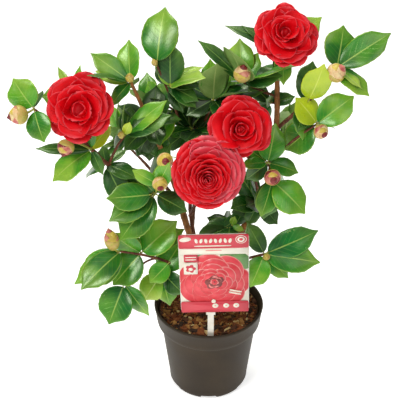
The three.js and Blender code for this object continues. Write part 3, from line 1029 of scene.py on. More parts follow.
@dataclass
class Grove:
    """All sprays of one side of the crown: its leaves, twigs and stalks grown from the limbs."""

    name: str
    habits: dict[str, Habit]
    limbs: Limbs
    seed: int
    extra: float
    stretch: float = 1.0
    spread: int = 1
    longest: float = 0.074
    roots: int = 9

    def build(self, twigs: Piece) -> None:
        """Grow every spray of the grove and join its leaves in one object.

        Args:
            twigs: Takes the twigs and stalks.
        """
        piece = Piece(self.name, [tint.value for tint in Tint] + [UNDERSIDE])
        for order, (node, habit) in enumerate(self.habits.items()):
            spray = self.limbs.spray(node, habit.seat)
            rng = np.random.default_rng(self.seed * 100 + order)
            start, run = self.limbs.nearest(spray.hub)
            gap = np.linalg.norm(spray.hub - start)
            twig = curve_between(start, start + run * gap * 0.45 + UP * gap * 0.1, spray.hub, 14)
            twigs.loft(tube_rings(twig, np.linspace(0.0016, 0.001, len(twig)), 8), 0)
            for root, tip, face, letter, width in self.deal(spray, habit, twig, rng):
                if width:
                    self.leaf(piece, twigs, root, tip, face, TINT_ORDER.index(letter), width, rng)
        piece.build("leaves", ["foliage_" + node for node in self.habits])

    def deal(self, spray: Spray, habit: Habit, twig: np.ndarray, rng: np.random.Generator) -> list[tuple]:
        """Gather a spray's leaves: those of its mass, those lower down its twig, and those listed.

        Args:
            spray: The spray.
            habit: How its leaves are dealt.
            twig: Its twig's path.
            rng: Its random numbers.

        Returns:
            Each leaf's root, tip, facing, tint letter and width.
        """
        roots = [twig[-1 - (index * 3) % self.spread] for index in range(len(spray.tips))]
        leaves = list(zip(roots, spray.tips, spray.faces))
        if not habit.bare:
            leaves += self.fill(spray, twig, rng)
        dealt = [(*leaf, habit.tints[index % len(habit.tints)], habit.widths[index % len(habit.widths)])
                 for index, leaf in enumerate(leaves)]
        hub = spray.hub
        return dealt + [(hub + np.array(root) * MM, hub + np.array(tip) * MM, FRONT_UP, tint, width)
                        for root, tip, tint, width in habit.more]

    def fill(self, spray: Spray, twig: np.ndarray, rng: np.random.Generator) -> list[tuple]:
        """Leaves lower down the twig, each turned by the golden angle and leaning the way the others lean.

        Args:
            spray: The spray.
            twig: Its twig's path.
            rng: Its random numbers.

        Returns:
            For each leaf, where its stalk starts, its tip, and which way it faces.
        """
        count = len(spray.tips)
        if count < 2:
            return []
        ways = spray.tips - spray.hub
        outward = unit(spray.hub - CROWN_HEART)
        lean = unit(ways.mean(axis=0)) - np.sign(outward[1]) * np.array([0.0, 0.7, 0.0]) + UP * 0.2
        first = across(unit(lean), UP[None])[0]
        second = np.cross(unit(lean), first)
        turn = rng.uniform(0, 6.28)
        made = []
        for index in range(int(round(self.extra * count))):
            angle = turn + index * GOLDEN_ANGLE
            reach = np.linalg.norm(ways, axis=1).mean() * rng.uniform(0.85, 1.25) * self.stretch
            long_twig = np.linalg.norm(twig[-1] - twig[0]) > 0.02
            root = twig[-1 - (index * 2) % self.roots] if long_twig else spray.hub
            round_twig = first * math.cos(angle) + second * math.sin(angle)
            way = unit(unit(lean) * rng.uniform(0.1, 0.6) + round_twig)
            made.append((root, root + way * reach, outward + UP * 0.6 + rng.normal(0, 0.2, 3)))
        return made

    def leaf(self, piece: Piece, twigs: Piece, root: np.ndarray, tip: np.ndarray, face: np.ndarray,
             tint: int, width: float, rng: np.random.Generator) -> None:
        """Grow one leaf and its stalk.

        Args:
            piece: Takes the leaf.
            twigs: Takes its stalk.
            root: Where the stalk leaves the twig.
            tip: Where the leaf ends.
            face: Which way its upper side faces, or the opposite way.
            tint: Its finish.
            width: Its width as a share of the usual.
            rng: The spray's random numbers.
        """
        outward = unit(root - CROWN_HEART) + UP * 0.9
        face = face * (1 if face @ outward > 0 else -1)
        way = unit(tip - root)
        length = min(np.linalg.norm(tip - root) * rng.uniform(0.9, 0.97), self.longest)
        base = tip - way * length
        face = unit(across(way, face) + rng.normal(0, 0.14, 3))
        half = length * rng.uniform(0.29, 0.35) * width
        grown = Leaf(base, tip, face, half, arch=rng.uniform(0.04, 0.13), fold=rng.uniform(0.1, 0.34),
                     wave=rng.uniform(0.03, 0.1), phase=rng.uniform(0, 6.28))
        rings, places = grown.rings()
        piece.loft(rings, blade_slots(tint, len(piece.finishes) - 1), places)
        stalk = curve_between(root, (root + base) / 2 + UP * 0.001, rings[2].mean(axis=0), 7)
        twigs.loft(tube_rings(stalk, np.linspace(0.0009, 0.0007, len(stalk)), 6), 1)


BOX_LOW, BOX_HIGH = (np.array(corner) for corner in CAD_BOX)
CROWN_HEART = np.array([0.0, 0.02, BOX_LOW[2] + 0.45 * (BOX_HIGH[2] - BOX_LOW[2])])


# ---------------------------------------------------------------- blooms


@dataclass(frozen=True)
class Ring:
    """One ring of petals, measured in shares of the bloom's radius.

    Out and high are how far out and how high its rim is, width is half a petal's width, and foot is how far
    out it starts, as a share of out. Belly is where the midline bends, and cup how much a petal is hollowed.
    """

    count: int
    out: float
    high: float
    width: float
    cup: float
    foot: float = 0.1
    belly: float = 0.5


@dataclass
class Bloom:
    """A double flower of rings of petals round an axis.

    Loose is how far petals stray from even, and heart the length of the closed bud in the middle, as a share
    of the radius. The outer petals on one side of a pale bloom have the softer red.
    """

    node: str
    rings: list[Ring]
    seed: int
    lean: float
    turn: float = 0.0
    loose: float = 0.03
    heart: float = 0.0
    pale: bool = False
    stations: int = 15
    depth: float = 0.36
    thick: float = 0.0004
    furthest: float = 1.06
    sepals: int = 6

    def __post_init__(self) -> None:
        """Read the bloom's middle, radius and facing from its solid: it is thinnest along its axis."""
        solid = Solid.read(self.node)
        self.middle = (solid.points.min(axis=0) + solid.points.max(axis=0)) / 2
        axes = np.linalg.svd(solid.points - solid.points.mean(axis=0), full_matrices=False)[2]
        self.axis = axes[2] * (-1 if axes[2][1] > 0 else 1)
        self.first = across(self.axis, UP[None])[0]
        self.second = np.cross(self.axis, self.first)
        self.radius = np.abs((solid.points - self.middle) @ self.first).max() * 0.98

    def spoke(self, angle: float) -> np.ndarray:
        """The direction square to the axis at an angle."""
        return self.first * math.cos(angle) + self.second * math.sin(angle)

    def petal(self, piece: Piece, ring: Ring, angle: float, rng: np.random.Generator) -> None:
        """Add one petal.

        Its midline is a quadratic curve in the plane of the axis and its own direction, from its foot by the
        axis, out and up to its rim. Half its width grows by a smooth step from 0.3 at the foot, and ends in
        the rounded rim sqrt(1 - w^3.2), w being the share of the way from the middle on. It is hollowed by
        cup x across^2, rippled, rolled back at its rim, and twisted a little.

        Args:
            piece: Takes the petal.
            ring: Its ring.
            angle: Which way it points, round the axis.
            rng: The bloom's random numbers.
        """
        radius, outward = self.radius, self.spoke(angle)
        centre = self.middle - self.first * self.lean * radius * (1 - ring.out)
        out = min(ring.out * (1 + self.loose * rng.uniform(-1, 0.8)), self.furthest) * radius
        high = (ring.high + self.loose * rng.uniform(-1, 1)) * radius
        foot = centre + outward * ring.foot * out - self.axis * radius * self.depth
        tip = centre + outward * out + self.axis * high
        lead = centre + outward * out * ring.belly + self.axis * (high - radius * 0.04)
        v = np.linspace(0, 1, self.stations) ** 0.85
        path = curve_between(foot, lead, tip, self.stations)
        run = unit(np.gradient(path, axis=0))
        side = np.cross(self.axis, outward)
        inner = np.cross(run, side[None])
        inner = inner * np.sign(np.sum(inner * (self.axis - outward * 0.6), axis=1, keepdims=True))
        width = ring.width * radius * (1 + 1.6 * self.loose * rng.uniform(-1, 1))
        twist = (self.loose * rng.uniform(-5, 5) * v)[:, None]
        cos, sin = np.cos(twist), np.sin(twist)
        side, inner = side * cos + inner * sin, inner * cos - side * sin
        rounded = np.sqrt(np.clip(1 - (np.clip(v - 0.5, 0, 1) / 0.505) ** 3.2, 0, 1))
        half = width * (0.3 + 0.7 * smooth(0, 0.6, v)) * np.maximum(rounded, 0.02)
        ripple = 0.05 * np.sin(ACROSS * 4 + rng.uniform(0, 6.28)) * v[:, None] ** 2
        roll = -0.22 * smooth(0.72, 1, v)[:, None] * (0.35 + ACROSS**2)
        hollow = half[:, None] * (ring.cup * ACROSS**2 * (1 - 0.35 * v[:, None]))
        pale = self.pale and ring.out > 0.7 and math.cos(angle - 5.3) > -0.1
        skin = blade_rings(path, side, inner, half, hollow + width * (ripple + roll * 0.5), self.thick)
        piece.loft(skin, 1 if pale else 0, blade_places(v))

    def sepal(self, piece: Piece, angle: float) -> None:
        """Add one green scale of the cup behind the petals.

        Args:
            piece: Takes the scale.
            angle: Which way it points, round the axis.
        """
        outward = self.spoke(angle)
        v = np.linspace(0, 1, 8)
        back = self.middle - self.axis * self.radius * 0.4
        path = curve_between(back, back + outward * 0.006, back + outward * 0.011 + self.axis * 0.005, len(v))
        side = np.repeat(np.cross(self.axis, outward)[None], len(v), axis=0)
        face = across(unit(np.gradient(path, axis=0)), -self.axis[None])
        half = 0.0055 * np.sqrt(np.clip(1 - (2 * v - 1) ** 4, 0.02, 1))
        piece.loft(blade_rings(path, side, face, half, -half[:, None] * 0.3 * ACROSS**2, 0.0006), 2)

    def build(self) -> None:
        """Build all rings of petals, the closed heart and the cup behind them."""
        rng = np.random.default_rng(self.seed)
        piece = Piece(self.node + "_petals", [PETAL, PETAL_PALE, SCALE_GREEN])
        start = self.turn
        for ring in self.rings:
            for index in range(ring.count):
                stray = self.loose * rng.uniform(-2.5, 2.5)
                self.petal(piece, ring, start + index * TURN / ring.count + stray, rng)
            start += GOLDEN_ANGLE + math.pi / ring.count
        if self.heart:
            foot = self.middle - self.first * self.lean * self.radius - self.axis * self.radius * 0.2
            length, radius = self.radius * 0.55, self.radius * self.heart
            Bud(foot, self.axis, length, radius, BudKind.HEART, scales=8).build(piece)
        for index in range(self.sepals):
            self.sepal(piece, index * TURN / self.sepals)
        piece.build("petals", [self.node])


def formal_rings() -> list[Ring]:
    """Rings of a formal double bloom: many even rings that close in to a tight rosette.

    Returns:
        The rings, from the widest in.
    """
    outs = (1.0, 0.87, 0.74, 0.61, 0.49, 0.39, 0.3, 0.22, 0.15, 0.09, 0.04)
    counts = (8, 7, 7, 6, 6, 5, 5, 4, 4, 3, 2)
    made = []
    for level, (out, count) in enumerate(zip(outs, counts)):
        high = 0.02 + 0.3 * math.sin(min(level / 6, 1) * math.pi * 0.6) - 0.004 * level
        made.append(Ring(count, out, high, 0.09 + 0.42 * out, 0.3 + 0.045 * level, 0.3, 0.55 + 0.035 * level))
    return made


# ---------------------------------------------------------------- buds


class BudKind(Enum):
    """How far a bud has ripened: the finishes of its scales, of the odd scale between, and of its point."""

    RIPE = (2, 3, 3)
    PINK = (1, 2, 3)
    CREAM = (1, 1, 2)
    YELLOW = (4, 1, 3)
    CLOSED = (4, 2, 2)
    SHOOT = (0, 0, 4)
    HEART = (0, 0, None)


@dataclass(frozen=True)
class Bud:
    """A fat flower bud of overlapping scales. The heart of a bloom is one without a point."""

    foot: np.ndarray
    way: np.ndarray
    length: float
    radius: float
    kind: BudKind
    scales: int = 9
    proud: float = 0.0008
    thick: float = 0.0003

    def swell(self, u: np.ndarray) -> np.ndarray:
        """The core's radius on the share u of its length: radius x sin(pi u^0.85)^0.7."""
        return self.radius * np.sin(np.pi * u**0.85) ** 0.7

    def build(self, piece: Piece) -> None:
        """Add the bud's core, its point and its scales.

        A scale follows the core from its foot to part way up, each further than the last and turned by the
        golden angle. It wraps the core by its own angle, which narrows to its tip, and stands a little proud.

        Args:
            piece: Takes the bud; its finishes are numbered by the bud's kind.
        """
        scale, odd, point = self.kind.value
        way = unit(self.way)
        first = across(way, UP[None] + np.array([[0.3, -0.2, 0.1]]))[0]
        second = np.cross(way, first)
        u = np.linspace(0.02, 0.985, 14)
        piece.loft(tube_rings(self.foot + way * (u * self.length)[:, None], self.swell(u), 14), scale)
        if point:
            nib = self.foot + way * (np.linspace(0.87, 1.03, 6) * self.length)[:, None]
            radii = self.radius * np.array([0.5, 0.42, 0.31, 0.2, 0.12, 0.05])
            piece.loft(tube_rings(nib, radii, 10), point)
        v = np.linspace(0, 1, 10)
        half = 1.35 * np.sqrt(np.clip(1 - np.clip((v - 0.4) / 0.61, 0, 1) ** 2.2, 0, 1)) + 0.02
        wrap = half[:, None] * ACROSS
        for index in range(self.scales):
            reach = 0.42 + 0.45 * (index + 1) / self.scales
            at = 0.02 + (reach - 0.02) * v
            radius = self.swell(at) + self.proud * (1.15 - index / self.scales)
            angle = index * GOLDEN_ANGLE
            turned = first * math.cos(angle) + second * math.sin(angle)
            shell = radius[:, None] + SHEET * self.thick
            centre = self.foot + way * (at * self.length)[:, None]
            rings = (centre[:, None] + (shell * np.cos(wrap))[..., None] * turned
                     + (shell * np.sin(wrap))[..., None] * np.cross(way, turned))
            mixed = (4, scale, scale, odd)[index % 4] if index > 2 else 0
            piece.loft(rings, mixed if point else scale, blade_places(v))


# ---------------------------------------------------------------- pot, soil and label


@dataclass
class Pot:
    """A round nursery pot: a deep rim band over a tapering body, with slots and holes in its foot."""

    height: float = 0.130
    rim: float = 0.075
    lip: float = 0.0011
    band_height: float = 0.028
    band_foot: float = 0.071
    body_top: float = 0.066
    foot: float = 0.054
    heel_out: float = 0.0013
    heel_round: float = 0.0058
    heel_height: float = 0.0075
    wall: float = 0.0022
    floor: float = 0.0026
    slots: int = 6
    slot_height: float = 0.0058
    slot_depth: float = 0.0072
    sides: int = 144
    holes: int = 4
    hole_radius: float = 0.005
    hole_circle: float = 0.027

    def profile(self) -> np.ndarray:
        """The pot's section.

        Returns:
            Radius and height down the outside from the lip, across the foot, and back up the inside.
        """
        lip, under = self.lip, self.height - self.band_height
        out = [(self.rim - lip * 2, self.height), (self.rim - lip * 0.6, self.height - lip * 0.3),
               (self.rim, self.height - lip * 1.5), (self.rim - 0.0004, self.height - 0.004),
               (self.rim - 0.001, self.height - 0.0046), (self.band_foot + 0.001, under + 0.006),
               (self.band_foot, under + 0.0012), (self.band_foot - 0.001, under),
               (self.body_top + 0.0012, under - 0.0006), (self.body_top, under - 0.002)]
        share = np.linspace(0.08, 1, 10)[:, None]
        upper, lower = np.array([[self.body_top, under]]), np.array([[self.foot + 0.0014, 0.012]])
        body = upper * (1 - share) + lower * share
        turn = np.linspace(0, np.pi / 2, 6)[:, None]
        heel = np.hstack([self.foot + self.heel_out + self.heel_round * (np.cos(turn) - 1),
                          self.heel_height * (1 - np.sin(turn))])
        inner = [(self.foot - 0.007, 0.0), (self.foot - 0.007, self.floor * 0.3), (0.002, self.floor * 0.3),
                 (0.002, self.floor), (self.foot - 0.004, self.floor), (self.body_top - self.wall, under),
                 (self.band_foot - self.wall, under + 0.002),
                 (self.rim - self.wall - lip, self.height - 0.001)]
        return np.vstack([out, body, heel, inner])

    def build(self) -> None:
        """Turn the profile, cut the slots in the foot by raising what is lower, and cut the drain holes."""
        profile = self.profile()
        angle = np.arange(self.sides) * TURN / self.sides
        radius, height = profile[:, :1], profile[:, 1:]
        low = (radius > self.foot - self.slot_depth) & (height < self.slot_height)
        slot = smooth(0.3, 0.4, np.cos(angle * self.slots + np.pi))[None] * self.slot_height
        height = np.where(low, np.maximum(height, slot), height)
        rings = np.stack([radius * np.cos(angle), radius * np.sin(angle),
                          np.broadcast_to(height, (len(profile), self.sides))], axis=-1)
        piece = Piece("nursery_pot", [POT])
        rows = np.concatenate([rings, rings[:1]])
        piece.add(rows, loft_quads(len(rows), self.sides), 0)
        made = piece.build("pot_plastic", ["pot"])
        for index in range(self.holes):
            self.cut_hole(made, index * TURN / self.holes)

    def cut_hole(self, made: bpy.types.Object, angle: float) -> None:
        """Cut one drain hole through the floor with a short cylinder, and leave no modifier behind.

        Args:
            made: The pot.
            angle: Where the hole is, round the axis.
        """
        x, y = self.hole_circle * math.cos(angle), self.hole_circle * math.sin(angle)
        bpy.ops.mesh.primitive_cylinder_add(vertices=24, radius=self.hole_radius, depth=0.02,
                                            location=(x, y, 0))
        cutter = bpy.context.object
        cut = made.modifiers.new("hole", "BOOLEAN")
        cut.operation, cut.solver, cut.object = "DIFFERENCE", "EXACT", cutter
        result = bpy.data.meshes.new_from_object(made.evaluated_get(bpy.context.evaluated_depsgraph_get()))
        made.modifiers.clear()
        made.data = result
        bpy.data.objects.remove(cutter)


@dataclass
class Soil:
    """Potting mix: a lumpy bed under loose bark chips, fibres and specks."""

    chips: int = 3600
    seed: int = 11
    heap: float = 0.0012
    sink: float = 0.0025
    clearance: float = 0.0006
    rows: int = 64
    sides: int = 160
    mixes: tuple[float, ...] = (0.16, 0.26, 0.34, 0.19, 0.05)

    def __post_init__(self) -> None:
        """Take the bed's height from its solid, and its radius from the pot."""
        self.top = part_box("soil")[1][2] + self.heap
        self.radius = Pot.band_foot - Pot.wall - self.clearance

    def height(self, x: np.ndarray, y: np.ndarray) -> np.ndarray:
        """The bed's height: its top, less a little towards the wall, with lumps of three sizes.

        Args:
            x: Places across.
            y: Places from front to back.

        Returns:
            The height at each.
        """
        place = np.stack([x, y, np.zeros_like(x)], axis=-1)
        far = np.hypot(x, y) / self.radius
        lumps = (value_noise(place, 0.016, 21) * 0.0016 + value_noise(place, 0.006, 22) * 0.0011
                 + value_noise(place, 0.0025, 23) * 0.0007)
        return self.top - self.sink * far**2 + lumps

    def build(self) -> None:
        """Make the bed, and scatter the chips over it."""
        angle = np.arange(self.sides)[None] * TURN / self.sides
        radius = np.linspace(0.0008, self.radius, self.rows)[:, None]
        x, y = radius * np.cos(angle), radius * np.sin(angle)
        top = np.stack([x, y, self.height(x, y)], axis=-1)
        under = top[-1] * [1, 1, 0] + [0, 0, self.top - 0.02]
        bed = Piece("potting_mix_bed", [SOIL])
        bed.loft(np.concatenate([top, under[None]]))
        bed.build("potting_mix", ["soil"])
        self.scatter()

    def scatter(self) -> None:
        """Lay small bent boxes on the bed.

        Each has its own colour and size, and about one in eight is more than twice as long. Its turn is that
        of a random quaternion that leans little, and its corners are moved in or out by shares of their own.
        """
        rng = np.random.default_rng(self.seed)
        count = self.chips
        radius = (self.radius - 0.002) * np.sqrt(rng.uniform(0.0, 1, count))
        angle = rng.uniform(0, TURN, count)
        x, y = radius * np.cos(angle), radius * np.sin(angle)
        long = rng.uniform(0.0009, 0.003, count) * np.where(rng.random(count) < 0.12, 2.2, 1.0)
        wide = long * rng.uniform(0.3, 0.8, count)
        deep = long * rng.uniform(0.18, 0.5, count)
        corners = np.array(list(np.ndindex(2, 2, 2))) * 2.0 - 1.0
        box = corners[None] * np.stack([long, wide, deep], axis=1)[:, None]
        box = box * rng.uniform(0.6, 1.1, box.shape)
        quaternion = unit(rng.normal(size=(count, 4)) * [1.0, 0.35, 0.35, 1.0])
        w, i, j, k = quaternion.T
        turn = np.stack([1 - 2 * (j * j + k * k), 2 * (i * j - k * w), 2 * (i * k + j * w),
                         2 * (i * j + k * w), 1 - 2 * (i * i + k * k), 2 * (j * k - i * w),
                         2 * (i * k - j * w), 2 * (j * k + i * w), 1 - 2 * (i * i + j * j)], axis=1)
        placed = np.einsum("nij,nkj->nki", turn.reshape(-1, 3, 3), box)
        placed += np.stack([x, y, self.height(x, y) + deep * 0.3], axis=1)[:, None]
        edge = np.linalg.norm(placed[..., :2], axis=-1).max(axis=1) < self.radius - 0.0004
        placed = placed[edge]
        faces = np.array([[0, 1, 3, 2], [4, 6, 7, 5], [0, 4, 5, 1],
                          [2, 3, 7, 6], [0, 2, 6, 4], [1, 5, 7, 3]])
        quads = (np.arange(len(placed))[:, None, None] * 8 + faces).reshape(-1, 4)
        dealt = rng.choice(len(CHIPS), len(placed), p=self.mixes)
        chips = Piece("potting_mix_chips", CHIPS)
        chips.add(placed, quads, np.repeat(dealt, 6))
        chips.build("potting_mix", [], flat=True)


class Outline(Enum):
    """The flat shapes that are printed on the label, each the power of its superellipse."""

    ROUND = 2.0
    SOFT = 5.0
    SQUARE = 24.0


@dataclass
class Label:
    """The plant label: its card and stick, and a printed picture in thin raised layers."""

    turn: float = math.radians(1.5)
    layer: float = 0.00002
    sides: int = 48
    margin: float = 0.3

    def __post_init__(self) -> None:
        """Take the card's middle, half sizes in millimetres and front from its solid, less its turn."""
        low, high = (np.array(corner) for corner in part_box("label_card"))
        lean = math.sin(self.turn)
        wide, tall = (high[0] - low[0]) / 2, (high[2] - low[2]) / 2
        self.wide, self.tall = (wide - tall * lean) / MM, (tall - wide * lean) / MM
        self.middle = (low + high) / 2
        self.front = low[1]
        self.depth = 0
        self.print = Piece("label_print", [INK_RED, INK_CORAL, INK_CREAM, INK_EDGE, INK_DARK, INK_LEAF,
                                           INK_DEEP])

    def slab(self, ink: Finish, x: float, z: float, wide: float, tall: float, shape: Outline = Outline.ROUND,
             spin: float = 0.0, scallops: int = 0, deep: float = 0.0) -> None:
        """Print one flat shape over what is there.

        Its outline is a superellipse, |x/a|^n + |z/b|^n = 1, whose radius may also swell and dip by a share
        deep as |cos(scallops angle / 2)|.

        Args:
            ink: Its finish.
            x: Its middle across the card, in millimetres from the card's middle.
            z: Its middle up the card, in millimetres.
            wide: Half its width, in millimetres.
            tall: Half its height, in millimetres.
            shape: How square it is.
            spin: How far it is turned, in radians.
            scallops: How many lobes it has.
            deep: How deep they are, as a share.
        """
        self.depth += 1
        angle = np.arange(self.sides) * TURN / self.sides
        power = shape.value
        radius = (np.abs(np.cos(angle)) ** power + np.abs(np.sin(angle)) ** power) ** (-1 / power)
        radius = radius * (1 - deep + deep * np.abs(np.cos(scallops * angle / 2)))
        u, v = wide * radius * np.cos(angle), tall * radius * np.sin(angle)
        u, v = x + u * math.cos(spin) - v * math.sin(spin), z + u * math.sin(spin) + v * math.cos(spin)
        limit_u, limit_v = self.wide - self.margin, self.tall - self.margin
        u, v = np.clip(u, -limit_u, limit_u) * MM, np.clip(v, -limit_v, limit_v) * MM
        c, s = math.cos(self.turn), math.sin(self.turn)
        place_x, place_z = self.middle[0] + u * c - v * s, self.middle[2] + u * s + v * c
        rise = self.front - self.layer * np.array([-3, self.depth])
        rings = np.stack([np.stack([place_x, np.full_like(u, y), place_z], axis=1) for y in rise])
        self.print.loft(rings, self.print.finishes.index(ink))

    def build(self) -> None:
        """Print the card: bands, leaves, the big rosette, a few plain marks; then dress card and stick."""
        square, soft = Outline.SQUARE, Outline.SOFT
        self.slab(INK_CREAM, 0, 0, self.wide, self.tall, square)
        self.slab(INK_LEAF, 28, 22, 22, 13, spin=-0.5)
        self.slab(INK_LEAF, -20, 28, 18, 9, spin=0.4)
        self.rosette(0, -12)
        self.slab(INK_CREAM, 0, 35.7, self.wide, 4.6, square)
        self.slab(INK_EDGE, 0, 37, 10, 0.7, soft)
        for z, tall in ((50.5, 10.3), (-52, 8.6)):
            self.slab(INK_RED, 0, z, self.wide, tall, square)
        for index in range(8):
            self.slab(INK_CREAM, -21.5 + index * 6, 51.5, 1.9, 3.4, spin=0.25 * (-1) ** index)
        self.slab(INK_CREAM, -1, 44, 23, 0.8, soft)
        self.slab(INK_CREAM, -35, 54, 7.4, 3.2, spin=0.15)
        for ink, size in ((INK_CREAM, 7), (INK_RED, 6.1), (INK_CREAM, 4.6), (INK_RED, 2.4)):
            self.slab(ink, 34, 53, size, size * 0.85)
        self.slab(INK_RED, -29, 25.5, 8.6, 5.2, square)
        for z in (27.4, 23.6):
            self.slab(INK_CREAM, -29, z, 7, 0.7, soft)
        self.slab(INK_CREAM, -29.5, 10, 8.8, 8.8, square)
        self.slab(INK_RED, -29.5, 10, 6.8, 6.4, scallops=5, deep=0.35)
        self.slab(INK_CREAM, -29.5, 9, 2.8, 2.4)
        self.slab(INK_CREAM, -1.5, -42.6, 2.8, 2.6)
        for x in (0.5, 14.5, 27.5):
            self.slab(INK_CREAM, x, -49.6, 3.9, 3.5)
            self.slab(INK_EDGE, x, -49.6, 1.2, 1.0)
        for x, z in ((27, -26.4), (26, -30)):
            self.slab(INK_CREAM, x, z, 8, 0.8, soft, -0.25)
        self.print.build("label_card", [])
        for node, finish in (("label_card", CARD), ("label_stick", STICK)):
            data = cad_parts[node].data
            data.materials.clear()
            data.materials.append(finish.material())

    def rosette(self, x: float, z: float) -> None:
        """Print the picture of a flower: petals from the widest ring in, each on a pale edge, and a heart.

        Args:
            x: Its middle across the card, in millimetres.
            z: Its middle up the card.
        """
        for level, size in enumerate((52, 43, 34, 26, 19.5)):
            count = 7 - level // 2
            for index in range(count):
                angle = index * TURN / count + level * GOLDEN_ANGLE
                px, pz = x + math.cos(angle) * size * 0.52, z + math.sin(angle) * size * 0.46
                ink = INK_CORAL if (index + level) % 3 else INK_DEEP
                wide, tall, spin = size * 0.43, size * 0.38, angle + 1.3
                self.slab(INK_EDGE, px, pz, wide, tall, spin=spin)
                self.slab(ink, px - 0.4, pz - 0.4, wide - 0.7, tall - 0.7, spin=spin)
        for ink, size in ((INK_DARK, 13), (INK_EDGE, 10.4), (INK_DARK, 9.4), (INK_EDGE, 6), (INK_DEEP, 5),
                          (INK_DARK, 1.6)):
            self.slab(ink, x, z, size, size * 0.8, scallops=5, deep=0.2, spin=size)


POT = PotFinish("pot_taupe_plastic", 0x33291D, 0.5, relief=6e-5, specular=0.22, dust=0x655743)
SOIL = Finish("potting_mix_bed", 0x2A170D, 0.95, 0x50301A, 0.004, 1.2e-3, 0.002)
CHIPS = [Finish(name, colour, roughness, blotch, 0.003, 4e-4, 0.001) for name, colour, roughness, blotch in (
    ("chip_dark", 0x22130B, 0.9, 0x3B2213), ("chip_brown", 0x5A3319, 0.85, 0x432410),
    ("chip_rust", 0x8C4A1C, 0.8, 0x6E3716), ("chip_tan", 0xB98445, 0.8, 0x966231),
    ("chip_pale", 0xD9C08A, 0.8, 0xC7A468))]
CARD = Finish("label_card_back", 0xF1EFE8, 0.4, 0xE9E6DC, 0.02, 2e-5, 0.002)
STICK = Finish("label_stick_white", 0xE9E4D8, 0.4, 0xDCD5C6, 0.01, 3e-5, 0.002)
INK_RED = Finish("print_red", 0xDB4250, 0.35, 0xD63B4A, 0.02, 1e-5, 0.002)
INK_CORAL = Finish("print_coral", 0xF0525A, 0.35, 0xE8454F, 0.012, 1e-5, 0.002)
INK_DEEP = Finish("print_deep_coral", 0xDE3A44, 0.35, 0xE64A50, 0.012, 1e-5, 0.002)
INK_EDGE = Finish("print_pale_edge", 0xF79A94, 0.35, 0xF58A86, 0.012, 1e-5, 0.002)
INK_DARK = Finish("print_dark_heart", 0x7E3A38, 0.35, 0x9A4A44, 0.004, 1e-5, 0.002)
INK_CREAM = Finish("print_cream", 0xF7F2E2, 0.35, 0xF3ECD8, 0.02, 1e-5, 0.002)
INK_LEAF = Finish("print_leaf", 0x6E9A58, 0.35, 0x5E8C4C, 0.012, 1e-5, 0.002)


# ---------------------------------------------------------------- the plant


TINT_ORDER = "".join(tint.name[0] for tint in Tint)

LEFT = {
    "far_left": Habit("FDM", (1.55, 0.6, 1.4), ("bough_far_left", 1), bare=True),
    "left_low": Habit("YDDFM", (1.1, 0.35, 0.8, 1.2), ("bough_left", 1)),
    "left_behind": Habit("FFMMMD", (0.6, 0.5, 1.0, 1.0, 1.0)),
    "upper_left": Habit("FMLMMD", (1.0, 0.85, 0.8), ("stem_left", 1)),
    "inner_left": Habit("FLDDD", (0.65, 0, 0.85, 0.85, 1.0), ("bough_inner_left", 1),
                        more=(((0, -6, 4), (8, -16, 26), "Y", 0.8),)),
    "left_shade": Habit("SDSSD", more=(((0, 0, 0), (-5, -4, -50), "S", 1.2),
                                       ((0, 0, -4), (-20, -6, -42), "S", 1.2),
                                       ((2, 0, -6), (12, -4, -48), "D", 1.1))),
    "left_middle": Habit("FMDMDM", (0.9, 0.9, 1.0, 1.1, 1.1, 1.1),
                         more=(((-4, -14, 8), (-58, -26, 10), "M", 1.15),
                               ((6, -34, 34), (20, -44, 70), "F", 0.9),
                               ((6, -34, 34), (-25, -30, 52), "F", 0.9))),
    "left_fork": Habit("DMDDD", (0.9, 0.9, 0.7, 0.85, 0.85)),
    "low_left_middle": Habit("FMM", (1.1, 1.0, 1.25)),
    "low_left": Habit("FM", (0.9, 0.9, 0.8, 0.9), ("bough_low_left", 1), bare=True),
    "low_left_drop": Habit("MB", (1.05, 1.4), bare=True),
    "low_left_inner": Habit("FLMFD", (1.2, 1.4, 1.2, 1.0),
                            more=(((10, -6, 20), (-16, -18, -4), "F", 1.35),)),
}
MIDDLE = {
    "tall_leaf": Habit("M", (1.1,), bare=True),
    "middle_left": Habit("LLDDDS"),
    "middle_top": Habit("FFDDDSDS", seat=("bough_middle", 1)),
    "bud": Habit("FDFD", (1.1, 0.55, 1.2, 0.9), ("bough_bud", 1)),
    "centre_low": Habit("DSDD", more=(((10, -6, 8), (14, -9, 24), "L", 0.9),
                                      ((10, -6, 8), (26, -12, 4), "F", 0.9))),
    "centre": Habit("SDSD"),
    "top_behind": Habit("FDDD", (1.0, 0.5, 0.5, 1.0), bare=True),
}
RIGHT = {
    "right_stem": Habit("DDDD", more=(((0, 0, 0), (-8, -22, 16), "D", 1.0),)),
    "right_top": Habit("MMLF", (1.3, 0.8, 0.8, 0.9), ("bough_right_top", 1), bare=True),
    "right_fork": Habit("YDDMD", (0, 1.0, 1.0, 1.1, 0), ("bough_right_top", 0.47), bare=True,
                        more=(((3, -10, 8), (17, -23, 63), "Y", 1.02),)),
    "right_middle": Habit("YFF", (1.65, 1.05, 0.8), ("bough_right_middle", 1),
                          more=(((-2, 4, -4), (-35, 8, -40), "M", 1.4),)),
    "right_inner": Habit("FMDF", (1.0, 1.0, 1.0, 1.25), more=(((0, 0, 0), (9, 20, 44), "F", 1.25),)),
    "right_low": Habit("FDM", (1.3, 1.2, 1.0), ("bough_right_front", 1)),
    "right_shade": Habit("DS"),
    "far_right_low": Habit("DBLMMF", (0.9, 0.8, 0.7, 0.85, 0.9, 1.2), ("bough_low_right", 1), bare=True),
}
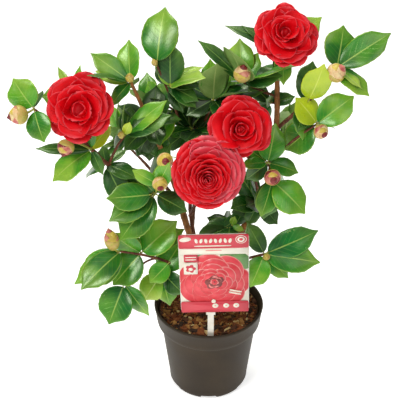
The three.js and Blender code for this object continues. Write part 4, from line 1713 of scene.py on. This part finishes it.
BACK = {
    "back_left": Habit("MDF"), "back_left_top": Habit("MFD"), "back_middle": Habit("MDB"),
    "back_right": Habit("FMD", (1.0, 1.0, 1.0, 0, 1.0, 0)), "back_right_top": Habit("MFD"),
    "back_low": Habit("DM"),
}

# Each bud: the mass that it sits by, its foot from where that mass's leaves meet in millimetres, its way, its
# length in millimetres, its radius as a share of that, and its kind.
BUDS = (
    ("far_left", (-6, -4, -3), (-0.95, -0.3, -0.12), 24, 0.43, BudKind.PINK),
    ("left_low", (-24, -16, 22), (-0.3, -0.6, -0.7), 21, 0.43, BudKind.RIPE),
    ("left_middle", (13, -26, 62), (0.1, -0.8, 0.4), 20, 0.43, BudKind.YELLOW),
    ("left_middle", (7, -34, 42), (0.1, -0.9, -0.2), 19, 0.43, BudKind.YELLOW),
    ("bud", (-3, -20, 10), (0.15, -0.3, 0.95), 24, 0.38, BudKind.PINK),
    ("right_top", (-8, -6, -10), (0.55, -0.35, 0.7), 25, 0.42, BudKind.CREAM),
    ("right_middle", (0, -4, -3), (0.4, -0.8, -0.1), 19, 0.43, BudKind.PINK),
    ("right_low", (-2, -6, 12), (0.1, -0.9, 0.1), 21, 0.43, BudKind.RIPE),
    ("low_left", (-7, -3, 4), (-0.22, 0.1, 1.0), 31, 0.27, BudKind.CLOSED),
    ("inner_left", (-1, -8, 5), (-0.7, -0.5, 0.2), 8, 0.43, BudKind.SHOOT),
    ("upper_left", (0, -6, 3), (-0.05, -0.3, 0.95), 13, 0.3, BudKind.SHOOT),
    ("far_right_low", (2, -4, 0), (0.1, -0.9, 0.2), 8, 0.43, BudKind.SHOOT),
    ("tall_leaf", (-1, 0, 0), (-0.4, 0.1, 0.9), 9, 0.3, BudKind.SHOOT),
)

MIDDLE_RINGS = [Ring(7, 1.0, 0.02, 0.5, 0.3), Ring(5, 0.85, 0.16, 0.58, 0.38), Ring(4, 0.6, 0.24, 0.52, 0.5),
                Ring(4, 0.36, 0.3, 0.34, 0.6, belly=0.8), Ring(4, 0.19, 0.32, 0.2, 0.8, belly=0.9)]
TOP_RINGS = [Ring(9, 1.0, -0.06, 0.4, 0.3), Ring(7, 0.9, 0.06, 0.48, 0.35), Ring(5, 0.72, 0.18, 0.52, 0.4),
             Ring(5, 0.5, 0.3, 0.42, 0.45), Ring(5, 0.32, 0.36, 0.3, 0.5, belly=0.8)]
LEFT_RINGS = [Ring(8, 1.04, -0.02, 0.45, 0.3), Ring(6, 0.9, 0.12, 0.52, 0.36), Ring(5, 0.67, 0.22, 0.5, 0.48),
              Ring(3, 0.4, 0.34, 0.5, 0.7, belly=0.98)]


@dataclass
class Camellia:
    """The whole shrub in its pot."""

    limb_names: list[str]

    def build(self) -> None:
        """Build every piece, from the pot up."""
        Pot().build()
        Soil().build()
        Label().build()
        limbs = Limbs(self.limb_names)
        limbs.build()
        twigs = Piece("twigs_and_stalks", [TWIG, SHOOT])
        Grove("leaves_left", LEFT, limbs, 5, extra=0.5).build(twigs)
        Grove("leaves_middle", MIDDLE, limbs, 6, extra=1.0, stretch=1.3, spread=7).build(twigs)
        Grove("leaves_right", RIGHT, limbs, 7, extra=0.5).build(twigs)
        Grove("leaves_back", BACK, limbs, 8, extra=0.9, stretch=1.15, spread=7).build(twigs)
        self.buds(twigs, limbs)
        twigs.build("bark", [])
        Bloom("bloom_front", formal_rings(), 31, lean=0.22, pale=True).build()
        Bloom("bloom_middle", MIDDLE_RINGS, 32, lean=0.1, heart=0.11, loose=0.09, turn=0.4).build()
        Bloom("bloom_top", TOP_RINGS, 33, lean=-0.04, heart=0.18, loose=0.11).build()
        Bloom("bloom_left", LEFT_RINGS, 34, lean=0.08, heart=0.24, loose=0.08).build()

    def buds(self, twigs: Piece, limbs: Limbs) -> None:
        """Set the flower buds by their sprays, and a stalk to each.

        Args:
            twigs: Takes the stalks.
            limbs: The limbs that the sprays sit on.
        """
        habits = LEFT | MIDDLE | RIGHT | BACK
        piece = Piece("flower_buds", [SCALE_GREEN, SCALE_CREAM, SCALE_PINK, SCALE_TIP, SCALE_YELLOW])
        for node, offset, way, size, plump, kind in BUDS:
            hub = limbs.spray(node, habits[node].seat).hub
            way = unit(np.array(way))
            foot = hub + np.array(offset) * MM
            Bud(foot, way, size * MM, size * plump * MM, kind).build(piece)
            stalk = curve_between(hub, (hub + foot) / 2 - way * 0.002, foot + way * 0.0015, 7)
            twigs.loft(tube_rings(stalk, np.linspace(0.0011, 0.0014, len(stalk)), 8), 1)
        piece.build("leaves", [])


@dataclass(frozen=True)
class Studio:
    """A pale floor, soft lights and the camera.

    Each light is its name, place, width, power and colour. AMBIENT lights the plant, and BACKDROP is what the
    camera sees of the sky.
    """

    AMBIENT, BACKDROP, GLOW = 0.22, 0.9, 0.6
    WHITE = (1.0, 1.0, 1.0, 1.0)

    lens: float = 84.24
    sensor: float = 36.0
    eye: tuple[float, float, float] = (-0.012, -1.024, 0.930)
    pitch: float = math.radians(31.8)
    aim: tuple[float, float, float] = (0.0, 0.0, 0.35)
    lights: tuple[tuple, ...] = (
        ("key", (-1.1, -1.3, 1.9), 0.7, 23, (1, 0.98, 0.94)),
        ("fill", (0.6, -1.5, 2.1), 1.4, 11, (1, 1, 1)),
        ("top", (-0.3, 0.7, 2.1), 1.0, 24, (1, 0.98, 0.88)),
    )

    def camera(self) -> None:
        """Create the camera: level, looking along +Y and down by its pitch."""
        data = bpy.data.cameras.new("camera")
        data.lens, data.sensor_width = self.lens, self.sensor
        made = bpy.data.objects.new("camera", data)
        made.location = self.eye
        made.rotation_euler = (math.pi / 2 - self.pitch, 0, 0)
        bpy.context.scene.collection.objects.link(made)
        bpy.context.scene.camera = made

    def softbox(self, name: str, place: tuple, size: float, power: float, colour: tuple) -> None:
        """Add a square area light that faces the crown.

        Args:
            name: Its name.
            place: Where it is.
            size: Its width in metres.
            power: Its power in watts.
            colour: Its colour.
        """
        data = bpy.data.lights.new(name, "AREA")
        data.size, data.energy, data.color = size, power, colour
        made = bpy.data.objects.new(name, data)
        made.location = place
        way = np.array(self.aim) - np.array(place)
        flat = math.hypot(way[0], way[1])
        made.rotation_euler = (math.atan2(flat, -way[2]), 0, math.atan2(way[1], way[0]) - math.pi / 2)
        bpy.context.scene.collection.objects.link(made)

    def build(self) -> None:
        """Set floor, lights and background."""
        floor = Finish("floor_white", 0xFAFAFA, 0.9, 0xF6F6F6, 0.5).material()
        shader = floor.node_tree.nodes["Principled BSDF"].inputs
        shader["Emission Color"].default_value = self.WHITE
        shader["Emission Strength"].default_value = self.GLOW
        bpy.ops.mesh.primitive_plane_add(size=60, location=(0, 0, -0.0005))
        plane = bpy.context.object
        plane.name = "floor"
        plane.data.materials.append(floor)
        for light in self.lights:
            self.softbox(*light)
        world = bpy.data.worlds.new("studio")
        bpy.context.scene.world = world
        world.use_nodes = True
        nodes, links = world.node_tree.nodes, world.node_tree.links
        path = nodes.new("ShaderNodeLightPath")
        pale = nodes.new("ShaderNodeMapRange")
        pale.inputs["To Min"].default_value = self.AMBIENT
        pale.inputs["To Max"].default_value = self.BACKDROP
        links.new(path.outputs["Is Camera Ray"], pale.inputs["Value"])
        nodes["Background"].inputs[0].default_value = self.WHITE
        links.new(pale.outputs[0], nodes["Background"].inputs[1])
        bpy.context.scene.view_settings.view_transform = "Standard"


def main() -> None:
    """Build the studio and the plant."""
    studio = Studio()
    studio.camera()
    limbs = [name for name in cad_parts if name.startswith(("trunk", "stem_", "bough_"))]
    Camellia(limbs).build()
    studio.build()


if __name__ == "__main__":
    logging.basicConfig(level=logging.INFO, format="%(name)s: %(message)s")
    main()
